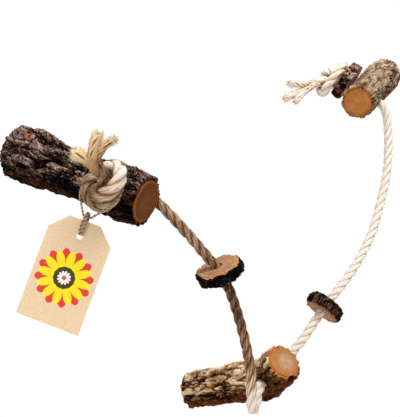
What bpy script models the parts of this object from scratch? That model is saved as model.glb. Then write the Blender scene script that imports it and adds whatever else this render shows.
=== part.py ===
"""Hanging rope perch for small cage birds.

One twisted rope of natural fibre carries three drilled branch logs and three drilled branch slices.
An overhand knot stops each end of the rope, with its three strands unlaid beyond the knot, and a card
tag hangs below the left knot on a loop of twine. The origin is the middle of the left log's cross hole.
+X runs from the left log to the right log, +Z is up, and the front of the perch faces -Y.
"""

import math

import bmesh
import bpy
import numpy as np
from mathutils import Matrix, Vector

# Fits, in metres
CONTACT_GAP = 0.0003
ROPE_HOLE_CLEARANCE = 0.0005
TWINE_CLEARANCE = 0.0005

# Rope and its knots
ROPE_DIAMETER = 0.008
ROPE_STEP = 0.008
KNOT_ROPE_DIAMETER = 0.0092
NECK_DIAMETER = 0.0078
KNOT_NECK = 0.007
KNOT_TAIL = 0.003
KNOT_POINTS = 76

# How the knots are drawn tight, in rope radii
KNOT_SPACING = 2.2
KNOT_LEAST_BEND = 2.6
KNOT_PRESS = 0.002
KNOT_PRESS_REACH = 6.0
KNOT_BODY_MIDDLE = np.array([0.0, 0.0, 3.2])
KNOT_BODY_REACH = 3.6
KNOT_ROUNDS = 900
KNOT_LINE_POINTS = 96

# Unlaid strands beyond the knots
STRAND_ROOT_DIAMETER = 0.0031
STRAND_TIP_DIAMETER = 0.0064
STRAND_STRAIGHT = 0.003
STRAND_ARCH = 0.003
STRAND_STEP = 0.004
STRAND_SPREAD = 0.0021
STRAND_TURNS = [math.radians(turn) for turn in (210.0, 90.0, 330.0)]

# Bark, on every log and slice. A lump or ridge in the bark has a width, a length and a height.
BARK_THICKNESS = 0.0022
BARK_RELIEF = 0.0018
FINE_BARK_RELIEF = 0.0008
BARK_CONTRAST = 2.0
BARK_SETBACK = 0.0009
LEFT_BARK_LUMP = (0.0065, 0.0120, BARK_RELIEF)
RIGHT_BARK_LUMP = (0.0065, 0.0085, FINE_BARK_RELIEF)
LOWER_BARK_LUMP = (0.0055, 0.0200, BARK_RELIEF)
SLICE_BARK_LUMP = (0.0070, 0.0070, FINE_BARK_RELIEF)
CORE_SIDES = 24
LOG_BARK_SIDES = 36
SLICE_BARK_SIDES = 24
LOG_RING_STEP = 0.004

# Left log: diameters are over the bark, insets run from the near sawn end to the hole's middle
LEFT_LOG_DIAMETER = 0.034
LEFT_LOG_LENGTH = 0.114
LEFT_LOG_HOLE_INSET = 0.021
LEFT_LOG_GIRTH = (0.95, 1.04, 0.99, 0.93, 0.97, 1.12, 1.17)
LEFT_LOG_WAY = Vector((0.86, -0.39, -0.32)).normalized()
LEFT_HOLE_WAY = Vector((0.41, 0.91, 0.0))
COLLAR_HEIGHT = 0.0045
COLLAR_RADIUS = 0.015
COLLAR_INSET = 0.020
COLLAR_SIDE = Vector((0.0, -0.45, 0.9))

# Right log
RIGHT_LOG_DIAMETER = 0.031
RIGHT_LOG_LENGTH = 0.097
RIGHT_LOG_HOLE_INSET = 0.027
RIGHT_LOG_GIRTH = (0.94, 0.97, 0.98, 1.03, 1.1, 1.08)
RIGHT_LOG_MIDDLE = Vector((0.2074, 0.1394, 0.0957))
RIGHT_LOG_WAY = Vector((-0.51, -0.735, -0.445)).normalized()
RIGHT_HOLE_WAY = Vector((0.82, -0.09, -0.565))

# Lower log, a crooked branch with a long left arm and a short right arm that rises to the front
LOWER_LOG_DIAMETER = 0.029
LOWER_LOG_LEFT_ARM = 0.074
LOWER_LOG_RIGHT_ARM = 0.031
LOWER_LOG_GIRTH = (0.93, 1.0, 0.98, 1.05, 1.06, 0.96, 0.92)
LOWER_LOG_MIDDLE = Vector((0.1059, 0.0684, -0.1465))
LOWER_LOG_LEFT_WAY = Vector((-0.857, 0.43, -0.283)).normalized()
LOWER_LOG_RIGHT_WAY = Vector((0.33, -0.70, 0.63)).normalized()
LOWER_HOLE_WAY = Vector((0.39, 0.92, 0.03)).normalized()

# Slices, sawn across a branch: diameter over the bark, thickness and the way the sawn face looks
LEFT_SLICE_DIAMETER = 0.0355
LEFT_SLICE_THICKNESS = 0.0098
LEFT_SLICE_WAY = Vector((0.36, 0.29, -0.89)).normalized()
RIGHT_SLICE_DIAMETER = 0.033
RIGHT_SLICE_THICKNESS = 0.0115
RIGHT_SLICE_WAY = Vector((0.615, 0.26, 0.74)).normalized()
END_SLICE_DIAMETER = 0.0345
END_SLICE_THICKNESS = 0.011
SLICE_GIRTH = (0.97, 1.0, 1.0, 0.96)

# Tag and twine
TWINE_DIAMETER = 0.0016
TAG_WIDTH = 0.041
TAG_LENGTH = 0.068
TAG_THICKNESS = 0.0006
TAG_CORNER_CUT = 0.0105
TAG_HOLE_DIAMETER = 0.0042
TAG_HOLE_INSET = 0.0100
TAG_LEAN = math.radians(20.5)
TAG_STRING_DROP = 0.0125
LOOP_STANDOFF = 0.0105
LOOP_BACK_STANDOFF = 0.0014
LOOP_POINTS = 72
LOOP_BODY_SHARE = 0.8
LOOP_SAG = 0.0026
LOOP_SAG_SPREAD = 0.35
LOOP_HELD_TURN = 0.22
LOOP_DIP_TURN = 0.6
LOOP_ROUNDS = 600
LOOP_PULL = 0.6
LINK_TURN_POINTS = 9
HITCH_ANGLE = math.radians(-102.0)

UP = Vector((0.0, 0.0, 1.0))
FRONT = Vector((0.0, -1.0, 0.0))


def square_to(way, axis):
    """The part of a direction that is square to an axis, as a unit vector."""
    return (way - axis * way.dot(axis)).normalized()


LEFT_HOLE_WAY = square_to(LEFT_HOLE_WAY, LEFT_LOG_WAY)
RIGHT_HOLE_WAY = square_to(RIGHT_HOLE_WAY, RIGHT_LOG_WAY)
LEFT_LOG_MIDDLE = Vector((0.0, 0.0, 0.0))


def girth_at(girth, share):
    """The girth factor at a share of the way along a log."""
    return float(np.interp(share, np.linspace(0.0, 1.0, len(girth)), girth))


# Where the knots and the end slice sit, measured along the holes from the logs' middles
LEFT_SEAT = (LEFT_LOG_DIAMETER / 2 * girth_at(LEFT_LOG_GIRTH, LEFT_LOG_HOLE_INSET / LEFT_LOG_LENGTH)
             + BARK_RELIEF / 2 + CONTACT_GAP)
END_SLICE_SEAT = (RIGHT_LOG_DIAMETER / 2
                  * girth_at(RIGHT_LOG_GIRTH, RIGHT_LOG_HOLE_INSET / RIGHT_LOG_LENGTH)
                  + BARK_RELIEF / 2 + CONTACT_GAP)
RIGHT_SEAT = END_SLICE_SEAT + END_SLICE_THICKNESS + CONTACT_GAP
END_SLICE_MIDDLE = RIGHT_LOG_MIDDLE - RIGHT_HOLE_WAY * (END_SLICE_SEAT + END_SLICE_THICKNESS / 2)

# The rope's route, from the left knot to the lower log and on to the right knot
LEFT_ROUTE = [
    LEFT_LOG_MIDDLE - LEFT_HOLE_WAY * (LEFT_SEAT - KNOT_NECK - CONTACT_GAP),
    LEFT_LOG_MIDDLE,
    LEFT_LOG_MIDDLE + LEFT_HOLE_WAY * 0.0190,
    LEFT_LOG_MIDDLE + LEFT_HOLE_WAY * 0.0245,
    Vector((0.0180, 0.0278, -0.0040)),
    Vector((0.0246, 0.0295, -0.0094)),
    Vector((0.0420, 0.0294, -0.0278)),
    Vector((0.0580, 0.0344, -0.0468)),
    Vector((0.0674, 0.0389, -0.0578)),
    Vector((0.0749, 0.0434, -0.0733)),
    Vector((0.0822, 0.0474, -0.0950)),
    Vector((0.0877, 0.0424, -0.1171)),
    Vector((0.0900, 0.0354, -0.1336)),
    Vector((0.0901, 0.0329, -0.1476)),
    Vector((0.0903, 0.0342, -0.1558)),
    Vector((0.0917, 0.0379, -0.1599)),
    Vector((0.0943, 0.0429, -0.1568)),
    Vector((0.0963, 0.0469, -0.1503)),
    LOWER_LOG_MIDDLE - LOWER_HOLE_WAY * 0.0185,
    LOWER_LOG_MIDDLE - LOWER_HOLE_WAY * 0.0140,
    LOWER_LOG_MIDDLE - LOWER_HOLE_WAY * (CONTACT_GAP / 2),
]
LEFT_SLICE_STATION = 8
RIGHT_ROUTE = [
    LOWER_LOG_MIDDLE + LOWER_HOLE_WAY * (CONTACT_GAP / 2),
    LOWER_LOG_MIDDLE + LOWER_HOLE_WAY * 0.0140,
    LOWER_LOG_MIDDLE + LOWER_HOLE_WAY * 0.0200,
    Vector((0.1195, 0.0934, -0.1438)),
    Vector((0.1278, 0.0984, -0.1384)),
    Vector((0.1413, 0.1054, -0.1256)),
    Vector((0.1630, 0.1144, -0.0986)),
    Vector((0.1837, 0.1224, -0.0757)),
    Vector((0.1958, 0.1264, -0.0599)),
    Vector((0.2101, 0.1324, -0.0357)),
    Vector((0.2200, 0.1374, -0.0080)),
    Vector((0.2272, 0.1404, 0.0201)),
    Vector((0.2291, 0.1409, 0.0439)),
    Vector((0.2281, 0.1394, 0.0647)),
    Vector((0.2257, 0.1374, 0.0772)),
    RIGHT_LOG_MIDDLE + RIGHT_HOLE_WAY * 0.0185,
    RIGHT_LOG_MIDDLE,
    RIGHT_LOG_MIDDLE - RIGHT_HOLE_WAY * (RIGHT_SEAT - KNOT_NECK - CONTACT_GAP),
]
RIGHT_SLICE_STATION = 6

# Knot tails: where each unlaid strand's tip ends, and the lean of the rope as it leaves the knot
LEFT_TAIL = (0.1, 0.60, 0.79)
LEFT_TAIL_SIDE = Vector((0.164, -0.074, 1.0))
LEFT_STRAND_TIPS = (
    Vector((-0.0251, -0.0446, 0.0252)),
    Vector((-0.0095, -0.0436, 0.0357)),
    Vector((0.0004, -0.0416, 0.0327)),
)
RIGHT_TAIL = (0.0, 0.95, 0.32)
RIGHT_TAIL_SIDE = Vector((-0.634, -0.222, -0.74))
RIGHT_STRAND_TIPS = (
    Vector((0.1345, 0.1364, 0.1047)),
    Vector((0.1300, 0.1354, 0.0902)),
    Vector((0.1405, 0.1374, 0.0872)),
)


for old in list(bpy.data.objects):
    bpy.data.objects.remove(old, do_unlink=True)
parts = bpy.data.collections.new("rope_perch")
cutters = bpy.data.collections.new("rope_perch_cutters")
for group in (parts, cutters):
    bpy.context.scene.collection.children.link(group)


def finish(name, colour, roughness):
    """A plain material of one colour and roughness."""
    material = bpy.data.materials.new(name)
    material.use_nodes = True
    shader = material.node_tree.nodes["Principled BSDF"]
    shader.inputs["Base Color"].default_value = (*colour, 1.0)
    shader.inputs["Roughness"].default_value = roughness
    return material


ROPE_FIBRE = finish("rope_fibre", (0.72, 0.60, 0.45), 0.9)
DARK_BARK = finish("dark_bark", (0.07, 0.045, 0.03), 0.95)
PALE_BARK = finish("pale_bark", (0.25, 0.17, 0.11), 0.95)
SAWN_WOOD = finish("sawn_wood", (0.45, 0.24, 0.10), 0.8)
KRAFT_CARD = finish("kraft_card", (0.75, 0.55, 0.34), 0.85)
TWINE_FIBRE = finish("twine_fibre", (0.35, 0.23, 0.11), 0.9)


def marker(name, place):
    """An empty at a place, such as a joint's pivot for the pieces that turn about it."""
    empty = bpy.data.objects.new(name, None)
    empty.location = place
    empty.empty_display_size = 0.01
    parts.objects.link(empty)
    return empty


def hang_on(piece, empty):
    """Parent a piece to a pivot without moving it."""
    piece.parent = empty
    piece.matrix_parent_inverse = Matrix.Translation(empty.location).inverted()


def through(points, step):
    """Points along a smooth curve through a route, no further apart than step, with each route
    point among them. Returns the points and the place of each route point in the list."""
    knots = [Vector(p) for p in points]
    ends = [knots[0] * 2 - knots[1]] + knots + [knots[-1] * 2 - knots[-2]]
    run, stations = [], []
    for before, here, there, after in zip(ends, ends[1:], ends[2:], ends[3:]):
        t1 = (here - before).length ** 0.5
        t2 = t1 + (there - here).length ** 0.5
        t3 = t2 + (after - there).length ** 0.5
        stations.append(len(run))
        count = max(1, math.ceil((there - here).length / step))
        for i in range(count):
            t = t1 + (t2 - t1) * i / count
            a1 = before * ((t1 - t) / t1) + here * (t / t1)
            a2 = here * ((t2 - t) / (t2 - t1)) + there * ((t - t1) / (t2 - t1))
            a3 = there * ((t3 - t) / (t3 - t2)) + after * ((t - t2) / (t3 - t2))
            b1 = a1 * ((t2 - t) / t2) + a2 * (t / t2)
            b2 = a2 * ((t3 - t) / (t3 - t1)) + a3 * ((t - t1) / (t3 - t1))
            run.append(b1 * ((t2 - t) / (t2 - t1)) + b2 * ((t - t1) / (t2 - t1)))
    stations.append(len(run))
    run.append(knots[-1])
    return run, stations


def distance_along(line):
    """The distance from the start of a line to each of its points."""
    return np.concatenate([[0.0], np.cumsum(np.linalg.norm(np.diff(line, axis=0), axis=1))])


def evenly(line, count):
    """A line read again at evenly spaced points."""
    along = distance_along(line)
    places = np.linspace(0.0, along[-1], count)
    return np.column_stack([np.interp(places, along, line[:, axis]) for axis in range(3)])


def sweep(name, points, radii, sides=8, caps=True, closed=False):
    """A round tube along a run of points, as a curve object."""
    curve = bpy.data.curves.new(name, "CURVE")
    curve.dimensions = "3D"
    curve.bevel_depth = 1.0
    curve.bevel_resolution = (sides - 4) // 2
    curve.use_fill_caps = caps
    spline = curve.splines.new("POLY")
    spline.points.add(len(points) - 1)
    spline.use_cyclic_u = closed
    for point, place, radius in zip(spline.points, points, radii):
        point.co = (*place, 1.0)
        point.radius = radius
    piece = bpy.data.objects.new(name, curve)
    parts.objects.link(piece)
    return piece


def tube(name, points, diameter, material, **options):
    """A tube of one diameter with its own material."""
    piece = sweep(name, points, [diameter / 2] * len(points), **options)
    piece.data.materials.append(material)
    return piece


def as_mesh(source, material):
    """The curve object made a mesh of the same name, with its caps welded on."""
    bpy.context.view_layer.update()
    evaluated = source.evaluated_get(bpy.context.evaluated_depsgraph_get())
    mesh = bpy.data.meshes.new_from_object(evaluated)
    name = source.name
    place = source.matrix_world.copy()
    bpy.data.objects.remove(source, do_unlink=True)
    work = bmesh.new()
    work.from_mesh(mesh)
    bmesh.ops.remove_doubles(work, verts=work.verts, dist=1e-6)
    bmesh.ops.recalc_face_normals(work, faces=work.faces)
    work.to_mesh(mesh)
    work.free()
    mesh.name = name
    mesh.materials.clear()
    mesh.materials.append(material)
    piece = bpy.data.objects.new(name, mesh)
    piece.matrix_world = place
    parts.objects.link(piece)
    return piece


def drill(name, place, way, diameter, length):
    """A round cutter along a way, centred on a place."""
    bpy.ops.mesh.primitive_cylinder_add(vertices=24, radius=diameter / 2, depth=length, location=place)
    cutter = bpy.context.object
    cutter.name = name
    cutter.rotation_euler = way.to_track_quat("Z", "Y").to_euler()
    cutter.hide_render = True
    cutter.display_type = "WIRE"
    for group in list(cutter.users_collection):
        group.objects.unlink(cutter)
    cutters.objects.link(cutter)
    return cutter


def bore(piece, cutter):
    """Cut a drilled hole in a piece."""
    cut = piece.modifiers.new("bore", "BOOLEAN")
    cut.operation = "DIFFERENCE"
    cut.object = cutter


BARK_LUMPS = bpy.data.textures.new("bark_lumps", "CLOUDS")
BARK_LUMPS.noise_scale = 1.0
BARK_LUMPS.noise_depth = 1
BARK_LUMPS.contrast = BARK_CONTRAST
COLLAR_SWELL = bpy.data.textures.new("collar_swell", "BLEND")
COLLAR_SWELL.progression = "SPHERICAL"


def branch(name, axis, girth, diameter, hole, hole_way, bark_material, lump, bark_sides, ring_step):
    """A length of branch along an axis: a wood core with sawn ends, a rough bark shell round it,
    and one drilled hole through both for the rope. Returns the core and the bark."""
    run, _ = through(axis, ring_step)
    lengths = distance_along(np.array(run))
    over = [diameter / 2 * girth_at(girth, s / lengths[-1]) for s in lengths]
    inside = [radius - BARK_THICKNESS for radius in over]
    core = sweep(name + "_wood", run, [radius - CONTACT_GAP for radius in inside], sides=CORE_SIDES)
    core = as_mesh(core, SAWN_WOOD)
    shorter = list(run)
    shorter[0] = run[0] + (run[1] - run[0]).normalized() * BARK_SETBACK
    shorter[-1] = run[-1] + (run[-2] - run[-1]).normalized() * BARK_SETBACK
    bark = sweep(name + "_bark", shorter, inside, sides=bark_sides, caps=False)
    bark = as_mesh(bark, bark_material)
    bark.vertex_groups.new(name="inside")
    wall = bark.modifiers.new("wall", "SOLIDIFY")
    wall.thickness = BARK_THICKNESS
    wall.offset = 1.0
    wall.shell_vertex_group = "inside"
    lump_guide = marker(name + "_lump_guide", run[0])
    lump_guide.rotation_euler = (run[-1] - run[0]).to_track_quat("Z", "Y").to_euler()
    lump_guide.scale = (lump[0], lump[0], lump[1])
    lumps = bark.modifiers.new("lumps", "DISPLACE")
    lumps.texture = BARK_LUMPS
    lumps.texture_coords = "OBJECT"
    lumps.texture_coords_object = lump_guide
    lumps.vertex_group = "inside"
    lumps.invert_vertex_group = True
    lumps.strength = lump[2]
    lumps.mid_level = 0.5
    cutter = drill(name + "_bore", hole, hole_way, ROPE_DIAMETER + 2 * ROPE_HOLE_CLEARANCE, 2 * diameter)
    for piece in (core, bark):
        bore(piece, cutter)
        piece.data.shade_smooth()
        piece.data.set_sharp_from_angle(angle=math.radians(35.0))
    return core, bark


def tightened_knot(tail):
    """The centreline of an overhand knot drawn tight on a seat at Z = 0, in rope radii. The rope
    comes up the Z axis out of its hole and leaves along tail. A loose knot is shortened step by
    step, while its turns push each other apart and the pull of the rope presses them on the seat."""
    # An open overhand knot, as a curve of the third, fourth and fifth powers
    t = np.linspace(-2.05, 2.05, 200)
    loose = np.column_stack([1.5 * (t**3 - 3 * t), 1.1 * (t**4 - 4 * t**2), 0.42 * (t**5 - 10 * t)])
    loose += [0.0, 2.0, 4.0]
    start = np.array([0.0, 0.0, -7.0])
    end = np.array([0.0, 0.0, 4.0]) + np.array(tail) * 15.0
    line = evenly(np.vstack([start, start + [0.0, 0.0, 2.0], loose, end]), KNOT_LINE_POINTS)
    first, second = np.triu_indices(KNOT_LINE_POINTS, 2)
    for _ in range(KNOT_ROUNDS):
        line[1:-1] += 0.35 * (0.5 * (line[:-2] + line[2:]) - line[1:-1])
        along = distance_along(line)
        risen = int(np.argmax(line[:, 2] > 0.3))
        pressed = np.linalg.norm(line - KNOT_BODY_MIDDLE, axis=1) < KNOT_PRESS_REACH
        pressed[:risen + 3] = False
        line[pressed, 2] -= KNOT_PRESS * np.maximum(line[pressed, 2] - 1.0, 0.0)
        for _ in range(3):
            apart = line[second] - line[first]
            gap = np.linalg.norm(apart, axis=1)
            close = (along[second] - along[first] > KNOT_LEAST_BEND) & (gap < KNOT_SPACING)
            push = (0.25 * (KNOT_SPACING - gap[close]) / gap[close])[:, None] * apart[close]
            np.add.at(line, second[close], push)
            np.add.at(line, first[close], -push)
        risen = int(np.argmax(line[:, 2] > 0.3))
        line[:risen, :2] = 0.0
        turned = np.linalg.norm(line[:, :2], axis=1) > 1.0
        line[turned, 2] = np.maximum(line[turned, 2], 1.0)
        line[0], line[-1] = start, end
        line = evenly(line, KNOT_LINE_POINTS)
    return line


def knot(name, seat, out, tail_side, tail):
    """An overhand stopper knot on a seat, with its neck down the hole behind it. Returns the
    points of its body in the seat's frame, that frame, and its points in the object's frame."""
    radius = KNOT_ROPE_DIAMETER / 2
    line = tightened_knot(Vector(tail).normalized()) * radius
    turns = line[line[:, 2] > 0.0]
    reach = np.linalg.norm(turns - KNOT_BODY_MIDDLE * radius, axis=1)
    last = int(np.max(np.nonzero(reach < KNOT_BODY_REACH * radius + KNOT_TAIL)))
    line = evenly(np.vstack([[0.0, 0.0, -KNOT_NECK], np.zeros(3), turns[:last + 1]]), KNOT_POINTS)
    first, second = np.triu_indices(len(line), 2)
    along = distance_along(line)
    apart = np.linalg.norm(line[first] - line[second], axis=1)
    least = apart[along[second] - along[first] > 3.1 * radius].min() - KNOT_ROPE_DIAMETER
    print(f"{name}: {along[-1] * 1000:.0f} mm of rope, least gap to itself {least * 1000:.2f} mm")
    side = square_to(tail_side, out)
    frame = Matrix((side.cross(out), side, out)).transposed()
    world = [seat + frame @ Vector(p) for p in line]
    swell = np.clip((along - KNOT_NECK) / radius, 0.0, 1.0)
    piece = sweep(name, world, NECK_DIAMETER / 2 + (radius - NECK_DIAMETER / 2) * swell)
    piece.data.materials.append(ROPE_FIBRE)
    return line, frame, world


def drawn_tight(loop, turns, reach, held):
    """A closed line of twine drawn tight round the turns of a knot on a seat at Z = 0. It shortens step
    by step, while the knot's rope keeps it off by reach and its held points stay in place."""
    rope = evenly(turns, 4 * len(turns))
    kept = loop[held]
    each = np.arange(len(loop))
    for _ in range(LOOP_ROUNDS):
        loop = loop + LOOP_PULL * (0.5 * (np.roll(loop, 1, axis=0) + np.roll(loop, -1, axis=0)) - loop)
        for _ in range(3):
            apart = loop[:, None] - rope
            gap = np.linalg.norm(apart, axis=2)
            nearest = np.argmin(gap, axis=1)
            least = gap[each, nearest]
            loop += apart[each, nearest] * (np.maximum(reach - least, 0.0) / least)[:, None]
        loop[:, 2] = np.maximum(loop[:, 2], LOOP_BACK_STANDOFF)
        loop[held] = kept
    return loop


def strands(side, world, tips):
    """Three unlaid strands that fan out from the end of a knot's tail."""
    end = world[-1]
    way = (world[-1] - world[-3]).normalized()
    across = square_to(tips[-1] - tips[0], way)
    over = way.cross(across)
    for number, (tip, turn) in enumerate(zip(tips, STRAND_TURNS), 1):
        root = end + way * CONTACT_GAP + (across * math.cos(turn) + over * math.sin(turn)) * STRAND_SPREAD
        bend = root + way * STRAND_STRAIGHT
        run, _ = through([root, bend, bend.lerp(tip, 0.5) + way * STRAND_ARCH, tip], STRAND_STEP)
        swell = np.linspace(0.0, 1.0, len(run)) ** 2
        radii = (STRAND_ROOT_DIAMETER + (STRAND_TIP_DIAMETER - STRAND_ROOT_DIAMETER) * swell) / 2
        piece = sweep(f"{side}_strand_{number}", run, radii)
        piece.data.materials.append(ROPE_FIBRE)


def log(name, middle, way, length, inset, girth, diameter, hole_way, bark_material, lump):
    """A straight log whose near end lies an inset along way from its hole's middle."""
    near = middle + way * inset
    far = near - way * length
    axis = [near, near.lerp(far, 0.5), far]
    core, bark = branch(name, axis, girth, diameter, middle, hole_way, bark_material, lump, LOG_BARK_SIDES,
                        LOG_RING_STEP)
    turning = marker(name + "_pivot", middle)
    hang_on(core, turning)
    hang_on(bark, turning)
    return bark


def slice_on_rope(name, middle, way, bore_way, diameter, thickness):
    """A slice of branch with its sawn faces square to way, drilled along the rope."""
    half = way * (thickness / 2)
    core, bark = branch(name, [middle - half, middle, middle + half], SLICE_GIRTH, diameter, middle,
                        bore_way, DARK_BARK, SLICE_BARK_LUMP, SLICE_BARK_SIDES, thickness / 4)
    turning = marker(name + "_pivot", middle)
    hang_on(core, turning)
    hang_on(bark, turning)


def rope_way(run, station):
    """The rope's direction at a place in its run."""
    return (run[station + 1] - run[station - 1]).normalized()


# Logs
left_bark = log("left_log", LEFT_LOG_MIDDLE, LEFT_LOG_WAY, LEFT_LOG_LENGTH, LEFT_LOG_HOLE_INSET,
                LEFT_LOG_GIRTH, LEFT_LOG_DIAMETER, LEFT_HOLE_WAY, DARK_BARK, LEFT_BARK_LUMP)
log("right_log", RIGHT_LOG_MIDDLE, RIGHT_LOG_WAY, RIGHT_LOG_LENGTH, RIGHT_LOG_HOLE_INSET,
    RIGHT_LOG_GIRTH, RIGHT_LOG_DIAMETER, RIGHT_HOLE_WAY, PALE_BARK, RIGHT_BARK_LUMP)
left_arm = LOWER_LOG_LEFT_WAY * LOWER_LOG_LEFT_ARM
right_arm = LOWER_LOG_RIGHT_WAY * LOWER_LOG_RIGHT_ARM
lower_axis = [LOWER_LOG_MIDDLE + left_arm * share for share in (1.0, 0.66, 0.33)]
lower_axis += [LOWER_LOG_MIDDLE + right_arm * share for share in (0.0, 0.5, 1.0)]
lower_pivot = marker("lower_log_pivot", LOWER_LOG_MIDDLE)
for piece in branch("lower_log", lower_axis, LOWER_LOG_GIRTH, LOWER_LOG_DIAMETER, LOWER_LOG_MIDDLE,
                    LOWER_HOLE_WAY, PALE_BARK, LOWER_BARK_LUMP, LOG_BARK_SIDES, LOG_RING_STEP):
    hang_on(piece, lower_pivot)

# The swollen collar where a side branch was cut from the left log
collar_side = square_to(COLLAR_SIDE, LEFT_LOG_WAY)
collar_place = LEFT_LOG_WAY * (LEFT_LOG_HOLE_INSET - LEFT_LOG_LENGTH + COLLAR_INSET)
collar_guide = marker("collar_guide", collar_place + collar_side * (LEFT_LOG_DIAMETER / 2))
collar_guide.scale = (COLLAR_RADIUS, COLLAR_RADIUS, COLLAR_RADIUS)
collar = left_bark.modifiers.new("collar", "DISPLACE")
collar.texture = COLLAR_SWELL
collar.texture_coords = "OBJECT"
collar.texture_coords_object = collar_guide
collar.vertex_group = "inside"
collar.invert_vertex_group = True
collar.strength = COLLAR_HEIGHT
collar.mid_level = 0.0
left_bark.modifiers.move(left_bark.modifiers.find("collar"), left_bark.modifiers.find("bore"))

# Rope
left_span, left_stations = through(LEFT_ROUTE, ROPE_STEP)
right_span, right_stations = through(RIGHT_ROUTE, ROPE_STEP)
tube("rope_left_span", left_span, ROPE_DIAMETER, ROPE_FIBRE)
tube("rope_right_span", right_span, ROPE_DIAMETER, ROPE_FIBRE)
for name, run in (("left", left_span), ("right", right_span)):
    print(f"rope {name} span: {distance_along(np.array(run))[-1] * 1000:.0f} mm, {len(run)} points")

# Slices on the rope
slice_on_rope("left_slice", LEFT_ROUTE[LEFT_SLICE_STATION], LEFT_SLICE_WAY,
              rope_way(left_span, left_stations[LEFT_SLICE_STATION]), LEFT_SLICE_DIAMETER,
              LEFT_SLICE_THICKNESS)
slice_on_rope("right_slice", RIGHT_ROUTE[RIGHT_SLICE_STATION], RIGHT_SLICE_WAY,
              rope_way(right_span, right_stations[RIGHT_SLICE_STATION]), RIGHT_SLICE_DIAMETER,
              RIGHT_SLICE_THICKNESS)
slice_on_rope("end_slice", END_SLICE_MIDDLE, RIGHT_HOLE_WAY, RIGHT_HOLE_WAY, END_SLICE_DIAMETER,
              END_SLICE_THICKNESS)

# Knots and their unlaid strands
left_seat = LEFT_LOG_MIDDLE - LEFT_HOLE_WAY * LEFT_SEAT
left_turns, left_frame, left_knot = knot("left_knot", left_seat, -LEFT_HOLE_WAY, LEFT_TAIL_SIDE, LEFT_TAIL)
strands("left", left_knot, LEFT_STRAND_TIPS)
right_seat = RIGHT_LOG_MIDDLE - RIGHT_HOLE_WAY * RIGHT_SEAT
_, _, right_knot = knot("right_knot", right_seat, -RIGHT_HOLE_WAY, RIGHT_TAIL_SIDE, RIGHT_TAIL)
strands("right", right_knot, RIGHT_STRAND_TIPS)

# Twine loop round the left knot: held out in front, where the tag hangs, and drawn tight behind
loop_offset = (KNOT_ROPE_DIAMETER + TWINE_DIAMETER) / 2 + TWINE_CLEARANCE
body = left_turns[:int(LOOP_BODY_SHARE * KNOT_POINTS), :2]
loop_turns = np.linspace(-math.pi, math.pi, LOOP_POINTS, endpoint=False)
slack = []
for turn in loop_turns:
    look = np.array([math.cos(turn + HITCH_ANGLE), math.sin(turn + HITCH_ANGLE)])
    sag = LOOP_SAG * math.exp(-((turn / LOOP_SAG_SPREAD) ** 2))
    dip = min(max(abs(turn) - LOOP_HELD_TURN, 0.0) / LOOP_DIP_TURN, 1.0)
    standoff = LOOP_STANDOFF + (LOOP_BACK_STANDOFF - LOOP_STANDOFF) * dip
    slack.append((*(body[np.argmax(body @ look)] + look * (loop_offset + sag)), standoff))
tight = drawn_tight(np.array(slack), left_turns, loop_offset, np.abs(loop_turns) <= LOOP_HELD_TURN)
loop = [left_seat + left_frame @ Vector(p) for p in tight]
print(f"twine loop: {distance_along(np.array(loop + loop[:1]))[-1] * 1000:.0f} mm")
tube("tag_loop", loop, TWINE_DIAMETER, TWINE_FIBRE, caps=False, closed=True)
hitch = loop[LOOP_POINTS // 2]

# Tag: a card with clipped top corners, on a long link of twine through its hole and the loop
fall = Vector((-math.sin(TAG_LEAN), 0.0, -math.cos(TAG_LEAN)))
across = Vector((math.cos(TAG_LEAN), 0.0, -math.sin(TAG_LEAN)))
tag_hole = hitch + fall * TAG_STRING_DROP
link_radius = TWINE_DIAMETER + TWINE_CLEARANCE
link_low = tag_hole - fall * ((TAG_HOLE_DIAMETER - TWINE_DIAMETER) / 2 - CONTACT_GAP + link_radius)
link = []
for middle, first_turn in ((hitch, 0.0), (link_low, math.pi)):
    for turn in np.linspace(first_turn, first_turn + math.pi, LINK_TURN_POINTS):
        link.append(middle + (FRONT * math.cos(turn) - fall * math.sin(turn)) * link_radius)
string = tube("tag_string", link, TWINE_DIAMETER, TWINE_FIBRE, caps=False, closed=True)

half = TAG_WIDTH / 2
clipped = half - TAG_CORNER_CUT
outline = ((-clipped, 0.0), (clipped, 0.0), (half, TAG_CORNER_CUT), (half, TAG_LENGTH), (-half, TAG_LENGTH),
           (-half, TAG_CORNER_CUT))
card_mesh = bpy.data.meshes.new("tag_card")
work = bmesh.new()
top = tag_hole - fall * TAG_HOLE_INSET + FRONT * (TAG_THICKNESS / 2)
face = work.faces.new([work.verts.new(top + across * x + fall * y) for x, y in outline])
wall = bmesh.ops.extrude_face_region(work, geom=[face])
back = [item for item in wall["geom"] if isinstance(item, bmesh.types.BMVert)]
bmesh.ops.translate(work, verts=back, vec=-FRONT * TAG_THICKNESS)
bmesh.ops.recalc_face_normals(work, faces=work.faces)
work.to_mesh(card_mesh)
work.free()
card_mesh.materials.append(KRAFT_CARD)
card = bpy.data.objects.new("tag_card", card_mesh)
parts.objects.link(card)
bore(card, drill("tag_hole", tag_hole, FRONT, TAG_HOLE_DIAMETER, 10 * TAG_THICKNESS))
tag_pivot = marker("tag_pivot", hitch)
hang_on(card, tag_pivot)
hang_on(string, tag_pivot)
print("tag pivot:", [round(c * 1000, 2) for c in hitch])
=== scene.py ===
# %% [markdown]
# # A hanging rope perch for small birds
# One twisted rope carries three drilled logs and three drilled branch slices, with a knot at each end
# and a card tag on twine. The CAD model gives every place and size. This lesson gives the pieces their
# looks: laid strands, flaking bark, sawn end grain and printed card. All lengths are in metres.

import itertools
import math

import bpy
import numpy as np
from mathutils import Matrix, Vector
from mathutils.bvhtree import BVHTree


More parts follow.
